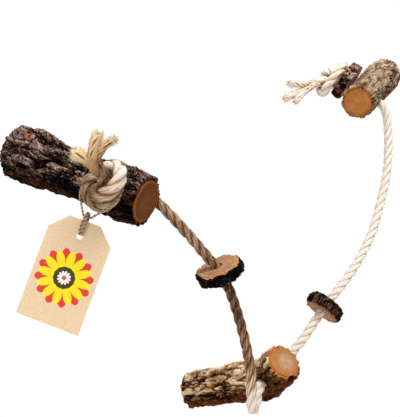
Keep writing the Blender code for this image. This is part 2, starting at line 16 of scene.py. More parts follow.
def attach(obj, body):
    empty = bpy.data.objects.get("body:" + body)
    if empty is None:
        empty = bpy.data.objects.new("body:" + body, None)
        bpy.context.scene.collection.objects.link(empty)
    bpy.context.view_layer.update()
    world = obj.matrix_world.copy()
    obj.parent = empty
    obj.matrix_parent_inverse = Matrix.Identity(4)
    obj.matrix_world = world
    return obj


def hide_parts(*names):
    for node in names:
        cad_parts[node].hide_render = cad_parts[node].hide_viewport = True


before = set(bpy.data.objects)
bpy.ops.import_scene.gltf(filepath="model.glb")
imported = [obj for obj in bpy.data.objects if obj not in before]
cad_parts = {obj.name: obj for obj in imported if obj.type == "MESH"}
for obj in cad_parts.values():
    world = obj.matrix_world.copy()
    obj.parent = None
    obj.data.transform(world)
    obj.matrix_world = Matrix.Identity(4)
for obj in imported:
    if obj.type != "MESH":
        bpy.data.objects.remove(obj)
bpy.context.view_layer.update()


# %% [markdown]
# ## Camera
# The photograph was taken level, from in front of the left log and about 345 mm from its knot. A focal
# length of 520 pixels on a picture 400 pixels wide makes the near log large and the far one small, as
# in the photograph. The camera could be fitted by eye, but a lens worked out from pixels stays exact.

# %% Camera
PHOTO_WIDTH = 400
FOCAL_PIXELS = 520
CAMERA_PLACE = (0.05255, -0.34656, -0.01123)

lens = bpy.data.cameras.new("photo_camera")
lens.sensor_fit = "HORIZONTAL"
lens.sensor_width = 36.0
lens.lens = lens.sensor_width * FOCAL_PIXELS / PHOTO_WIDTH
lens.clip_start = 0.01
camera = bpy.data.objects.new("photo_camera", lens)
camera.location = CAMERA_PLACE
camera.rotation_euler = (math.radians(90.0), 0.0, 0.0)
bpy.context.collection.objects.link(camera)
bpy.context.scene.camera = camera
bpy.context.scene.view_settings.view_transform = "Standard"
print(f"camera: {lens.lens:.1f} mm lens")


# %% [markdown]
# ## Colours and nodes
# Colours are written as on a paint chart, in sRGB hex, and shaders want linear light, so one function
# converts them. Another adds one shader node with its settings and links. Building materials from that
# one function keeps each material a short list of what feeds what.

# %% Colours and nodes
def colour(code):
    """An sRGB hex colour as linear red, green, blue and alpha."""
    shares = [int(code[i:i + 2], 16) / 255 for i in (1, 3, 5)]
    return [c / 12.92 if c <= 0.04045 else ((c + 0.055) / 1.055) ** 2.4 for c in shares] + [1.0]


def node(tree, kind, inputs=None, stops=(), **settings):
    """Adds a shader node. Inputs are values or the sockets that feed them, and stops fill a colour ramp."""
    made = tree.nodes.new("ShaderNode" + kind)
    for name, value in settings.items():
        setattr(made, name, value)
    for count, (place, code) in enumerate(stops):
        ramp = made.color_ramp.elements
        stop = ramp[count] if count < 2 else ramp.new(place)
        stop.position = place
        stop.color = colour(code)
    for name, value in (inputs or {}).items():
        if isinstance(value, bpy.types.NodeSocket):
            tree.links.new(value, made.inputs[name])
        else:
            made.inputs[name].default_value = value
    return made


def new_material(name):
    """A new material, its node tree and its main shader."""
    material = bpy.data.materials.new(name)
    material.use_nodes = True
    return material, material.node_tree, material.node_tree.nodes["Principled BSDF"]


# A Mix node has sockets for several kinds of value under the same names, so they go by number
MIX_FACTOR, MIX_FIRST, MIX_SECOND, MIXED = 0, 6, 7, 2


# %% [markdown]
# ## Studio
# The perch hangs over a pale floor in soft light. The main lamp stands high up, a little to the right,
# where the photograph has its light, and two wider and weaker ones fill from the left and from behind.
# The white round the perch comes from the world and from the far floor, which answer the camera with
# plain white, so the lamps stay at a level where a colour looks as it is written. Below the perch the
# floor is real and takes the shadow.

# %% World
WORLD_LIGHT = 0.34

world = bpy.data.worlds.new("studio")
world.use_nodes = True
sky = world.node_tree
sky.nodes.clear()
ray = node(sky, "LightPath")
seen = node(sky, "Math", {0: ray.outputs["Is Camera Ray"], 1: ray.outputs["Is Transmission Ray"]},
            operation="MAXIMUM")
strength = node(sky, "MapRange", {"Value": seen.outputs[0], "To Min": WORLD_LIGHT, "To Max": 1.0})
white = node(sky, "Background", {"Color": colour("#FFFFFF"), "Strength": strength.outputs[0]})
node(sky, "OutputWorld", {"Surface": white.outputs[0]})
bpy.context.scene.world = world
print("world light:", WORLD_LIGHT)

# %% Floor
FLOOR_MIDDLE = (0.08, 0.08, -0.42)
FLOOR_RADIUS = 3.0
SHADOW_REACH = (0.30, 0.46)

bpy.ops.object.select_all(action="DESELECT")
bpy.ops.mesh.primitive_circle_add(vertices=96, radius=FLOOR_RADIUS, fill_type="NGON", location=FLOOR_MIDDLE)
floor = bpy.context.object
floor.name = "floor"
bpy.ops.object.transform_apply(location=True)
# Matt paper, so pale that only the perch's soft shadow shows on it
paper, tree, shader = new_material("white_paper_floor")
shader.inputs["Roughness"].default_value = 0.9
shader.inputs["Base Color"].default_value = colour("#F4F3F1")
where = node(tree, "TexCoord")
away = node(tree, "VectorMath", {0: where.outputs["Object"], 1: FLOOR_MIDDLE}, operation="DISTANCE")
far = node(tree, "MapRange", {"Value": away.outputs["Value"], "From Min": SHADOW_REACH[0],
                              "From Max": SHADOW_REACH[1]}, interpolation_type="SMOOTHSTEP")
ray = node(tree, "LightPath")
seen = node(tree, "Math", {0: ray.outputs["Is Camera Ray"], 1: far.outputs[0]}, operation="MULTIPLY")
glow = node(tree, "Emission", {"Color": colour("#FFFFFF"), "Strength": 1.0})
both = node(tree, "MixShader", {0: seen.outputs[0], 1: shader.outputs[0], 2: glow.outputs[0]})
tree.links.new(both.outputs[0], tree.nodes["Material Output"].inputs["Surface"])
floor.data.materials.append(paper)
print("floor:", paper.name)

# %% Lamps
LAMP_AIM = Vector((0.08, 0.07, 0.0))
# Each lamp: its name, place, width and power in watts
LAMPS = (
    ("key", (0.30, -0.42, 1.00), 0.45, 14.0),
    ("fill", (-0.62, -0.85, 0.05), 0.80, 5.0),
    ("back", (0.05, 0.95, 0.75), 0.80, 5.0),
)
for name, place, size, power in LAMPS:
    lamp = bpy.data.lights.new(name, "AREA")
    lamp.size = size
    lamp.energy = power
    stand = bpy.data.objects.new(name, lamp)
    stand.location = place
    stand.rotation_euler = (LAMP_AIM - Vector(place)).to_track_quat("-Z", "Y").to_euler()
    bpy.context.collection.objects.link(stand)
print("studio:", len(LAMPS), "lamps")


# %% [markdown]
# ## The rope's route
# The rope starts at the left knot, goes back through the left log, down through the left slice, turns
# up in front of the lower log and goes back through its hole, and climbs through the right slice to the
# right log and the right knot. A real rope takes one smooth line through its holes. A smooth curve
# through a short list of points gives that line. A log keeps the rope straight inside its hole, so each
# log's hole has two points or more on its axis.

# %% Places of the holes
LEFT_LOG_MIDDLE = Vector((0.0, 0.0, 0.0))
LEFT_LOG_WAY = Vector((0.86, -0.39, -0.32)).normalized()
RIGHT_LOG_MIDDLE = Vector((0.2074, 0.1394, 0.0957))
RIGHT_LOG_WAY = Vector((-0.51, -0.735, -0.445)).normalized()
LOWER_LOG_MIDDLE = Vector((0.1059, 0.0684, -0.1465))
LOWER_HOLE_WAY = Vector((0.39, 0.92, 0.03)).normalized()


def square_to(way, axis):
    """The part of a direction that is square to an axis, as a unit vector."""
    return (way - axis * way.dot(axis)).normalized()


LEFT_HOLE_WAY = square_to(Vector((0.41, 0.91, 0.0)), LEFT_LOG_WAY)
RIGHT_HOLE_WAY = square_to(Vector((0.82, -0.09, -0.565)), RIGHT_LOG_WAY)
for side, way in (("left", LEFT_HOLE_WAY), ("lower", LOWER_HOLE_WAY), ("right", RIGHT_HOLE_WAY)):
    print(f"hole of the {side} log runs along", [round(c, 2) for c in way])


# %% Route of the rope
KNOT_NECK = 0.007
LEFT_SEAT = 0.01879
RIGHT_SEAT = 0.0276
LEFT_ROUTE = [
    LEFT_HOLE_WAY * (KNOT_NECK - LEFT_SEAT),
    Vector((0.0, 0.0, 0.0)),
    LEFT_HOLE_WAY * 0.0190,
    LEFT_HOLE_WAY * 0.0245,
    Vector((0.0180, 0.0278, -0.0040)),
    Vector((0.0246, 0.0295, -0.0094)),
    Vector((0.0420, 0.0294, -0.0278)),
    Vector((0.0580, 0.0344, -0.0468)),
    Vector((0.0674, 0.0389, -0.0578)),
    Vector((0.0749, 0.0434, -0.0733)),
    Vector((0.0822, 0.0474, -0.0950)),
    Vector((0.0877, 0.0424, -0.1171)),
    Vector((0.0900, 0.0354, -0.1336)),
    Vector((0.0901, 0.0329, -0.1476)),
    Vector((0.0903, 0.0342, -0.1558)),
    Vector((0.0917, 0.0379, -0.1599)),
    Vector((0.0943, 0.0429, -0.1568)),
    Vector((0.0963, 0.0469, -0.1503)),
    LOWER_LOG_MIDDLE - LOWER_HOLE_WAY * 0.0185,
    LOWER_LOG_MIDDLE - LOWER_HOLE_WAY * 0.0140,
    LOWER_LOG_MIDDLE,
]
RIGHT_ROUTE = [
    LOWER_LOG_MIDDLE,
    LOWER_LOG_MIDDLE + LOWER_HOLE_WAY * 0.0140,
    LOWER_LOG_MIDDLE + LOWER_HOLE_WAY * 0.0200,
    Vector((0.1195, 0.0934, -0.1438)),
    Vector((0.1278, 0.0984, -0.1384)),
    Vector((0.1413, 0.1054, -0.1256)),
    Vector((0.1630, 0.1144, -0.0986)),
    Vector((0.1837, 0.1224, -0.0757)),
    Vector((0.1958, 0.1264, -0.0599)),
    Vector((0.2101, 0.1324, -0.0357)),
    Vector((0.2200, 0.1374, -0.0080)),
    Vector((0.2272, 0.1404, 0.0201)),
    Vector((0.2291, 0.1409, 0.0439)),
    Vector((0.2281, 0.1394, 0.0647)),
    Vector((0.2257, 0.1374, 0.0772)),
    RIGHT_LOG_MIDDLE + RIGHT_HOLE_WAY * 0.0185,
    RIGHT_LOG_MIDDLE,
    RIGHT_LOG_MIDDLE - RIGHT_HOLE_WAY * (RIGHT_SEAT - KNOT_NECK),
]
print("route:", len(LEFT_ROUTE), "points on the left and", len(RIGHT_ROUTE), "on the right")


# %% Smooth lines
def distance_along(line):
    """The distance from the start of a line to each of its points."""
    return np.concatenate([[0.0], np.cumsum(np.linalg.norm(np.diff(line, axis=0), axis=1))])


def evenly(line, count):
    """A line read again at evenly spaced points."""
    along = distance_along(line)
    places = np.linspace(0.0, along[-1], count)
    return np.column_stack([np.interp(places, along, line[:, axis]) for axis in range(3)])


def through(points, step):
    """An even line of points on a smooth curve through a route, about a step apart."""
    route = [Vector(p) for p in points]
    ends = [route[0] * 2 - route[1]] + route + [route[-1] * 2 - route[-2]]
    run = []
    # A Catmull-Rom curve, whose spacing by the square root of distance keeps it from looping in tight bends
    for before, here, there, after in zip(ends, ends[1:], ends[2:], ends[3:]):
        t1 = (here - before).length ** 0.5
        t2 = t1 + (there - here).length ** 0.5
        t3 = t2 + (after - there).length ** 0.5
        count = max(2, math.ceil(2 * (there - here).length / step))
        for i in range(count):
            t = t1 + (t2 - t1) * i / count
            a1 = before * ((t1 - t) / t1) + here * (t / t1)
            a2 = here * ((t2 - t) / (t2 - t1)) + there * ((t - t1) / (t2 - t1))
            a3 = there * ((t3 - t) / (t3 - t2)) + after * ((t - t2) / (t3 - t2))
            b1 = a1 * ((t2 - t) / t2) + a2 * (t / t2)
            b2 = a2 * ((t3 - t) / (t3 - t1)) + a3 * ((t - t1) / (t3 - t1))
            run.append(b1 * ((t2 - t) / (t2 - t1)) + b2 * ((t - t1) / (t2 - t1)))
    run = np.array(run + [route[-1]])
    return evenly(run, math.ceil(distance_along(run)[-1] / step) + 1)


ROPE_STEP = 0.001
left_line = through(LEFT_ROUTE, ROPE_STEP)
right_line = through(RIGHT_ROUTE, ROPE_STEP)
for side, line in (("left", left_line), ("right", right_line)):
    print(f"rope on the {side}: {distance_along(line)[-1] * 1000:.0f} mm")


# %% [markdown]
# ## Cotton rope as a material
# The rope is laid from unbleached cotton: cream and matt, with soft yarns that show as fine lines along
# the rope. Its brown tone down in the grooves and between the yarns is painted shade. The yarns could
# be an image, but a wave pattern on the rope's own UV map, which is in millimetres, follows every bend.
# A yarn is about 1.2 mm wide and is drawn 1.8 mm wide here, so that it shows. Browner stretches are
# painted shade too: a stored number picks the tone from two ramps, for the strands and for their grooves.

# %% Cotton rope material
YARN_WIDTH_MM = 1.8
YARN_ANGLE = math.radians(24.0)
# Single hairs in each millimetre along and across: 3.3 mm long and 0.4 mm wide, coarse enough to show
HAIRS_PER_MM = (0.3, 2.4, 1.0)
# Patches in each metre where the painted shade is stronger or weaker, so about 14 mm across
BROWN_PATCHES = 70.0


def cotton(name, tones, grooves, yarn_lines=0.8):
    """Unbleached cotton in laid strands. Tones run from clean to browned by painted shade, on the strands
    and in the grooves, which are darker as painted shade, and yarn_lines says how dark the painted shade
    between yarns is."""
    material, tree, shader = new_material(name)
    fibre = node(tree, "UVMap", uv_map="fibre")
    turned = node(tree, "Mapping", {"Vector": fibre.outputs[0], "Rotation": (0.0, 0.0, YARN_ANGLE)})
    yarns = node(tree, "TexWave", {"Vector": turned.outputs[0], "Scale": 2 * math.pi / (20 * YARN_WIDTH_MM),
                                   "Distortion": 1.6, "Detail": 2.0, "Detail Scale": 0.6},
                 bands_direction="Y")
    drawn = node(tree, "Mapping", {"Vector": turned.outputs[0], "Scale": HAIRS_PER_MM})
    hairs = node(tree, "TexNoise", {"Vector": drawn.outputs[0], "Scale": 1.0, "Detail": 3.0})
    where = node(tree, "TexCoord")
    patches = node(tree, "TexNoise", {"Vector": where.outputs["Object"], "Scale": BROWN_PATCHES,
                                      "Detail": 2.0})
    depth = node(tree, "Attribute", attribute_name="groove")
    soil = node(tree, "Attribute", attribute_name="soil")
    # Painted shade: darker down in the grooves and in the gaps between yarns
    low = node(tree, "MapRange", {"Value": depth.outputs["Fac"], "From Min": 0.12, "From Max": 0.46})
    lines = node(tree, "MapRange", {"Value": yarns.outputs["Fac"], "To Min": yarn_lines, "To Max": 0.0})
    groove_shade = node(tree, "Math", {0: low.outputs[0], 1: lines.outputs[0]}, operation="ADD", use_clamp=True)
    # Random patches make the painted shade stronger or weaker
    worn = node(tree, "MapRange", {"Value": patches.outputs["Fac"], "From Min": 0.3, "From Max": 0.7,
                                   "To Min": 0.75, "To Max": 1.25})
    much = node(tree, "Math", {0: soil.outputs["Fac"], 1: worn.outputs[0]}, operation="MULTIPLY",
                use_clamp=True)
    strand = node(tree, "ValToRGB", {"Fac": much.outputs[0]}, stops=tones)
    hollow = node(tree, "ValToRGB", {"Fac": much.outputs[0]}, stops=grooves)
    base = node(tree, "Mix", {MIX_FACTOR: groove_shade.outputs[0], MIX_FIRST: strand.outputs[0],
                              MIX_SECOND: hollow.outputs[0]}, data_type="RGBA")
    fleck = node(tree, "MapRange", {"Value": hairs.outputs["Fac"], "From Min": 0.25, "From Max": 0.75,
                                    "To Min": -0.5, "To Max": 0.5})
    coarse = node(tree, "MapRange", {"Value": much.outputs[0], "From Max": 0.5,
                                     "To Min": 0.16, "To Max": 0.5})
    grain = node(tree, "Math", {0: fleck.outputs[0], 1: coarse.outputs[0], 2: 0.95},
                 operation="MULTIPLY_ADD")
    shown = node(tree, "VectorMath", {0: base.outputs[MIXED], "Scale": grain.outputs[0]}, operation="SCALE")
    height = node(tree, "Math", {0: yarns.outputs["Fac"], 1: hairs.outputs["Fac"]}, operation="ADD")
    bump = node(tree, "Bump", {"Height": height.outputs[0], "Strength": 0.5, "Distance": 0.0004})
    tree.links.new(shown.outputs[0], shader.inputs["Base Color"])
    tree.links.new(bump.outputs[0], shader.inputs["Normal"])
    shader.inputs["Roughness"].default_value = 0.92
    shader.inputs["Specular IOR Level"].default_value = 0.15
    shader.inputs["Sheen Weight"].default_value = 0.08
    shader.inputs["Sheen Roughness"].default_value = 0.5
    return material


# %% Rope and knot cotton
ROPE_TONES = ((0.0, "#FFF4E8"), (0.3, "#E4CDB2"), (0.65, "#A68466"), (1.0, "#6E4A28"))
ROPE_GROOVES = ((0.0, "#E6D5C2"), (0.3, "#8E6238"), (0.65, "#562E10"), (1.0, "#2A1000"))
# Cream and matt where clean, dull brown where shade is painted on, darkest in the grooves, painted shade
# too
ROPE_COTTON = cotton("unbleached_cotton_rope", ROPE_TONES, ROPE_GROOVES)
# Handled while it was tied, so its yarns are fluffed up and the painted shade between them is faint
KNOT_COTTON = cotton("fluffed_cotton_rope", ROPE_TONES, ROPE_GROOVES, yarn_lines=0.45)
print("materials:", ROPE_COTTON.name, KNOT_COTTON.name)


# %% [markdown]
# ## Laying the rope
# Three strands are twisted round each other, right-handed: on the side that faces you they climb to the
# right. One round tube with a bump could pass from afar, but the notched outline is what makes a rope
# look laid. So each strand is its own tube on a helix, in one mesh. The frame that carries the helix is
# turned as little as possible from point to point, so the lay stays even round bends.

# %% Tubes in one mesh
def carried_sides(line):
    """A line's directions and two directions square to them, carried along the line without twist."""
    ways = np.gradient(line, axis=0)
    ways /= np.linalg.norm(ways, axis=1)[:, None]
    start = np.cross(ways[0], np.eye(3)[np.argmin(np.abs(ways[0]))])
    sides = [start / np.linalg.norm(start)]
    for way in ways[1:]:
        side = sides[-1] - way * (sides[-1] @ way)
        sides.append(side / np.linalg.norm(side))
    sides = np.array(sides)
    return ways, sides, np.cross(ways, sides)


def store(piece, name, values):
    """Keeps one number for each vertex, for a material to read."""
    kept = piece.data.attributes.new(name, "FLOAT", "POINT")
    kept.data.foreach_set("value", np.asarray(values, dtype=float))


def tubes(name, runs, material, sides=12):
    """One mesh of closed tubes. Each run is a middle line, its radii and the direction of its outer side.
    The UV map holds millimetres along and round, and groove is 0 on the outer side and 1 on the inner."""
    turns = np.linspace(0.0, 2 * math.pi, sides, endpoint=False)
    points, faces, fibre, groove = [], [], [], []
    for middle, radii, outer in runs:
        ways = np.gradient(middle, axis=0)
        ways /= np.linalg.norm(ways, axis=1)[:, None]
        outer = outer - ways * np.sum(outer * ways, axis=1)[:, None]
        outer /= np.linalg.norm(outer, axis=1)[:, None]
        across = np.cross(ways, outer)
        spokes = outer[:, None] * np.cos(turns)[:, None] + across[:, None] * np.sin(turns)[:, None]
        first = sum(len(ring) for ring in points)
        points.append((middle[:, None] + spokes * radii[:, None, None]).reshape(-1, 3))
        groove.append(np.tile((1 - np.cos(turns)) / 2, len(middle)))
        along = distance_along(middle) * 1000
        round_mm = 2 * math.pi / sides * radii.mean() * 1000
        for i in range(len(middle) - 1):
            low, high = first + i * sides, first + (i + 1) * sides
            for j in range(sides):
                k = (j + 1) % sides
                faces.append((low + j, low + k, high + k, high + j))
                fibre += (along[i], j * round_mm, along[i], (j + 1) * round_mm,
                          along[i + 1], (j + 1) * round_mm, along[i + 1], j * round_mm)
        last = first + (len(middle) - 1) * sides
        faces.append(tuple(range(first + sides - 1, first - 1, -1)))
        faces.append(tuple(range(last, last + sides)))
        fibre += [0.0] * (4 * sides)
    mesh = bpy.data.meshes.new(name)
    mesh.from_pydata(np.vstack(points), [], faces)
    mesh.uv_layers.new(name="fibre").data.foreach_set("uv", fibre)
    mesh.shade_smooth()
    mesh.materials.append(material)
    piece = bpy.data.objects.new(name, mesh)
    bpy.context.collection.objects.link(piece)
    store(piece, "groove", np.concatenate(groove))
    return piece


# %% Laid rope
ROPE_DIAMETER = 0.008
ROPE_LAY = 0.027
STRAND_OFFSET = 0.43
STRAND_SHARE = 0.57


def laid_rope(name, line, radii, material, plies=3, lay=ROPE_LAY, sides=14):
    """Strands laid right-handed round a line. Radii are the rope's, at each point of the line."""
    along = distance_along(line)
    _, sides_of, ups = carried_sides(line)
    runs = []
    for strand in range(plies):
        turn = 2 * math.pi * (along / lay + strand / plies)
        outer = sides_of * np.cos(turn)[:, None] + ups * np.sin(turn)[:, None]
        runs.append((line + outer * (STRAND_OFFSET * radii)[:, None], STRAND_SHARE * radii, outer))
    return tubes(name, runs, material, sides)


def joins(piece, body, slot, *nodes):
    """The piece moves with a body and stands for these CAD nodes. Its slot is not used."""
    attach(piece, body)
    if nodes:
        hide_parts(*nodes)


def ring_of(points, line):
    """For each vertex of a three-strand rope, the number of the point of its line that it goes round."""
    rings = len(line)
    return np.tile(np.repeat(np.arange(rings), len(points) // (3 * rings)), 3)


def shade_by_place(piece, line, levels):
    """Paints shade on a rope along its line: levels are pairs of a share of its length and how much
    shade is painted there.
    """
    along = distance_along(line) / distance_along(line)[-1]
    store(piece, "soil", np.interp(along[ring_of(piece.data.vertices, line)], *zip(*levels)))


def lay_span(side, line, soil):
    """The rope of one side, from its knot to the lower log."""
    piece = laid_rope(f"rope_{side}", line, np.full(len(line), ROPE_DIAMETER / 2), ROPE_COTTON)
    shade_by_place(piece, line, soil)
    joins(piece, "rope", "rope_fibre", f"rope_{side}_span")
    print(piece.name, len(piece.data.polygons), "faces")
    return piece


# Painted shade on the left span: brown along most of it, darkest past its middle, clean at the bend below
LEFT_ROPE_SHADE = (
    (0.0, 0.54), (0.3, 0.58), (0.44, 0.66), (0.5, 0.88), (0.68, 0.88), (0.76, 0.4), (0.82, 0.03))
RIGHT_ROPE_SOIL = ((0.0, 0.0), (0.15, 0.04), (1.0, 0.0))
rope_left = lay_span("left", left_line, LEFT_ROPE_SHADE)
rope_right = lay_span("right", right_line, RIGHT_ROPE_SOIL)


# %% [markdown]
# ## Knots
# Each end of the rope is stopped by an overhand knot. Its line could be drawn by hand, but then turns
# cut through each other. Here a loose knot is tightened step by step, as by pulling: the line shortens,
# its turns push each other apart, and the pull presses them on the wood. The same strands are then laid
# along that line.

# %% Tightened knot
KNOT_ROPE_DIAMETER = 0.0092
NECK_DIAMETER = 0.0078
KNOT_TAIL = 0.003
KNOT_POINTS = 76
# Lengths from here on are in rope radii
KNOT_LEAD = 7.0
KNOT_RUN_OUT = 15.0
KNOT_RISE = 0.3
KNOT_SPACING = 2.2
KNOT_LEAST_BEND = 2.6
KNOT_SHORTEN = 0.35
KNOT_PUSH = 0.25
KNOT_PRESS = 0.002
KNOT_PRESS_REACH = 6.0
KNOT_BODY_MIDDLE = np.array([0.0, 0.0, 3.2])
KNOT_BODY_REACH = 3.6
KNOT_ROUNDS = 900
KNOT_LINE_POINTS = 96


def tightened_knot(tail):
    """The line of an overhand knot drawn tight on a seat at Z = 0, in rope radii. The rope comes up the
    Z axis and leaves along tail."""
    # Three polynomials whose curve crosses itself as a loose overhand knot does
    t = np.linspace(-2.05, 2.05, 200)
    loose = np.column_stack([1.5 * (t**3 - 3 * t), 1.1 * (t**4 - 4 * t**2), 0.42 * (t**5 - 10 * t)])
    loose += [0.0, 2.0, 4.0]
    start = np.array([0.0, 0.0, -KNOT_LEAD])
    end = np.array([0.0, 0.0, 4.0]) + np.array(tail) * KNOT_RUN_OUT
    line = evenly(np.vstack([start, start + [0.0, 0.0, 2.0], loose, end]), KNOT_LINE_POINTS)
    first, second = np.triu_indices(KNOT_LINE_POINTS, 2)
    for _ in range(KNOT_ROUNDS):
        line[1:-1] += KNOT_SHORTEN * (0.5 * (line[:-2] + line[2:]) - line[1:-1])
        along = distance_along(line)
        risen = int(np.argmax(line[:, 2] > KNOT_RISE))
        pressed = np.linalg.norm(line - KNOT_BODY_MIDDLE, axis=1) < KNOT_PRESS_REACH
        pressed[:risen + 3] = False
        line[pressed, 2] -= KNOT_PRESS * np.maximum(line[pressed, 2] - 1.0, 0.0)
        for _ in range(3):
            apart = line[second] - line[first]
            gap = np.linalg.norm(apart, axis=1)
            close = (along[second] - along[first] > KNOT_LEAST_BEND) & (gap < KNOT_SPACING)
            push = (KNOT_PUSH * (KNOT_SPACING - gap[close]) / gap[close])[:, None] * apart[close]
            np.add.at(line, second[close], push)
            np.add.at(line, first[close], -push)
        risen = int(np.argmax(line[:, 2] > KNOT_RISE))
        line[:risen, :2] = 0.0
        turned = np.linalg.norm(line[:, :2], axis=1) > 1.0
        line[turned, 2] = np.maximum(line[turned, 2], 1.0)
        line[0], line[-1] = start, end
        line = evenly(line, KNOT_LINE_POINTS)
    return line


def knot_on_seat(seat, out, tail_side, tail):
    """A knot's points in its seat's frame, that frame, and a smooth line of the knot in the object's
    frame."""
    radius = KNOT_ROPE_DIAMETER / 2
    line = tightened_knot(Vector(tail).normalized()) * radius
    turns = line[line[:, 2] > 0.0]
    reach = np.linalg.norm(turns - KNOT_BODY_MIDDLE * radius, axis=1)
    last = int(np.max(np.nonzero(reach < KNOT_BODY_REACH * radius + KNOT_TAIL)))
    line = evenly(np.vstack([[0.0, 0.0, -KNOT_NECK], np.zeros(3), turns[:last + 1]]), KNOT_POINTS)
    side = square_to(tail_side, out)
    seat_frame = Matrix((side.cross(out), side, out)).transposed()
    return line, seat_frame, through([seat + seat_frame @ Vector(p) for p in line], ROPE_STEP)


# %% Knots
LEFT_TAIL = (0.1, 0.60, 0.79)
LEFT_TAIL_SIDE = Vector((0.164, -0.074, 1.0))
RIGHT_TAIL = (0.0, 0.95, 0.32)
RIGHT_TAIL_SIDE = Vector((-0.634, -0.222, -0.74))
# In rope radii: how near another turn makes a crease, and how far that fades
CREASE_REACH = 1.7
CREASE_FADE = 0.7
# How much shade is painted in a crease
CREASE_SHADE = 0.95


def laid_knot(name, line, soil, left_shade=0.0):
    """The rope laid along a knot's line, narrower in its neck, with painted shade in the creases between
    its turns. The last argument says how much shade is painted on its left side."""
    along = distance_along(line)
    radius = KNOT_ROPE_DIAMETER / 2
    swell = np.clip((along - KNOT_NECK) / radius, 0.0, 1.0)
    piece = laid_rope(name, line, NECK_DIAMETER / 2 + (radius - NECK_DIAMETER / 2) * swell, KNOT_COTTON)
    points = np.array([v.co for v in piece.data.vertices])
    own = along[ring_of(points, line)]
    gap = np.linalg.norm(points[:, None] - line, axis=2)
    # The rope makes no crease with the stretch that it is part of
    gap[np.abs(own[:, None] - along) < 3 * radius] = 1.0
    crease = np.clip((CREASE_REACH * radius - gap.min(axis=1)) / (CREASE_FADE * radius), 0.0, 1.0)
    # Painted shade: along the line, in the creases, and stronger on the left side, away from the light
    left = (points[:, 0].max() - points[:, 0]) / np.ptp(points[:, 0])
    store(piece, "soil", np.interp(own / along[-1], *zip(*soil)) + CREASE_SHADE * crease + left_shade * left**2)
    joins(piece, "rope", "rope_fibre", name.replace("_tied", ""))
    return piece


left_seat = LEFT_HOLE_WAY * -LEFT_SEAT
left_turns, left_frame, left_knot_line = knot_on_seat(
    left_seat, -LEFT_HOLE_WAY, LEFT_TAIL_SIDE, LEFT_TAIL)
right_seat = RIGHT_LOG_MIDDLE - RIGHT_HOLE_WAY * RIGHT_SEAT
_, _, right_knot_line = knot_on_seat(right_seat, -RIGHT_HOLE_WAY, RIGHT_TAIL_SIDE, RIGHT_TAIL)
# Painted shade along the left knot: pale on the turn that faces the light, brown on the rest
LEFT_KNOT_SHADE = (
    (0.0, 0.6), (0.2, 0.45), (0.34, 0.03), (0.42, 0.0), (0.55, 0.22), (0.75, 0.42), (1.0, 0.6))
RIGHT_KNOT_SOIL = ((0.0, 0.06), (1.0, 0.06))
left_knot = laid_knot("left_knot_tied", left_knot_line, LEFT_KNOT_SHADE, left_shade=0.5)
right_knot = laid_knot("right_knot_tied", right_knot_line, RIGHT_KNOT_SOIL)
for side, line in (("left", left_knot_line), ("right", right_knot_line)):
    print(f"{side} knot: {distance_along(line)[-1] * 1000:.0f} mm of rope")


# %% [markdown]
# ## Unlaid ends
# Beyond each knot the rope is unlaid, and its three strands stand apart as soft tufts of yarn. A tuft
# could be particle hair, which the model can't carry to other programs. Instead each strand goes on
# from where it leaves the knot as a bundle of thin yarn tubes that keep a slow twist and open towards a
# blunt, uneven end.

# %% Tuft of yarn
TUFT_TWIST = 0.052
TUFT_YARNS = 14
# Shares of the tuft's radius: its core, how far out the yarns lie, and how thick they are
TUFT_CORE = 0.7
YARN_LIFT = 0.72
YARN_UNEVEN = 0.10
YARN_SHARE = 0.28
YARN_TIP = (0.92, 0.75, 0.45)
YARN_WAVE = 0.35
YARN_WAVES = 9
# Painted shade: brown at the root by the knot, fading towards the tip
TUFT_ROOT_SHADE = ((0.0, 1.0), (0.3, 0.75), (0.6, 0.4), (1.0, 0.05))


def tuft(name, line, root, tip, seed, material):
    """A bundle of loose yarns along a line, wider and uneven at the end."""
    rng = np.random.default_rng(seed)
    along = distance_along(line)
    share = along / along[-1]
    radii = root + (tip - root) * share
    _, sides_of, ups = carried_sides(line)
    runs = [(line[:-1], TUFT_CORE * radii[:-1], sides_of[:-1])]
    for yarn in range(TUFT_YARNS):
        turn = 2 * math.pi * (along / TUFT_TWIST + yarn / TUFT_YARNS)
        turn = turn + YARN_WAVE * np.sin(YARN_WAVES * share + rng.uniform(0, 6))
        outer = sides_of * np.cos(turn)[:, None] + ups * np.sin(turn)[:, None]
        lift = (YARN_LIFT + YARN_UNEVEN * share * rng.uniform(-1, 1)) * radii
        end = len(line) - int(rng.integers(0, 4))
        thin = YARN_SHARE * radii[:end]
        thin[-len(YARN_TIP):] *= YARN_TIP
        runs.append((line[:end] + outer[:end] * lift[:end, None], thin, outer[:end]))
    piece = tubes(name, runs, material, sides=6)
    points = np.array([v.co for v in piece.data.vertices])
    gone = np.linalg.norm(points - line[0], axis=1) / along[-1]
    store(piece, "soil", np.interp(gone, *zip(*TUFT_ROOT_SHADE)))
    return piece


# %% Unlaid yarn material
# Opened yarn has no lay left: soft and pale at the tip, with shade painted brown on the root by the knot
TUFT_COTTON = cotton(
    "unlaid_tan_yarn", ((0.0, "#F8E8CE"), (0.3, "#DCBC8E"), (1.0, "#8A5624")),
    ((0.0, "#C89A64"), (1.0, "#5A300E")), yarn_lines=0.12)
# The same yarn, with little of the painted shade
CREAM_COTTON = cotton(
    "unlaid_cream_yarn", ((0.0, "#FFF4E8"), (1.0, "#E4CDB2")),
    ((0.0, "#E2CDB4"), (1.0, "#B08A62")), yarn_lines=0.12)
print("materials:", TUFT_COTTON.name, CREAM_COTTON.name)

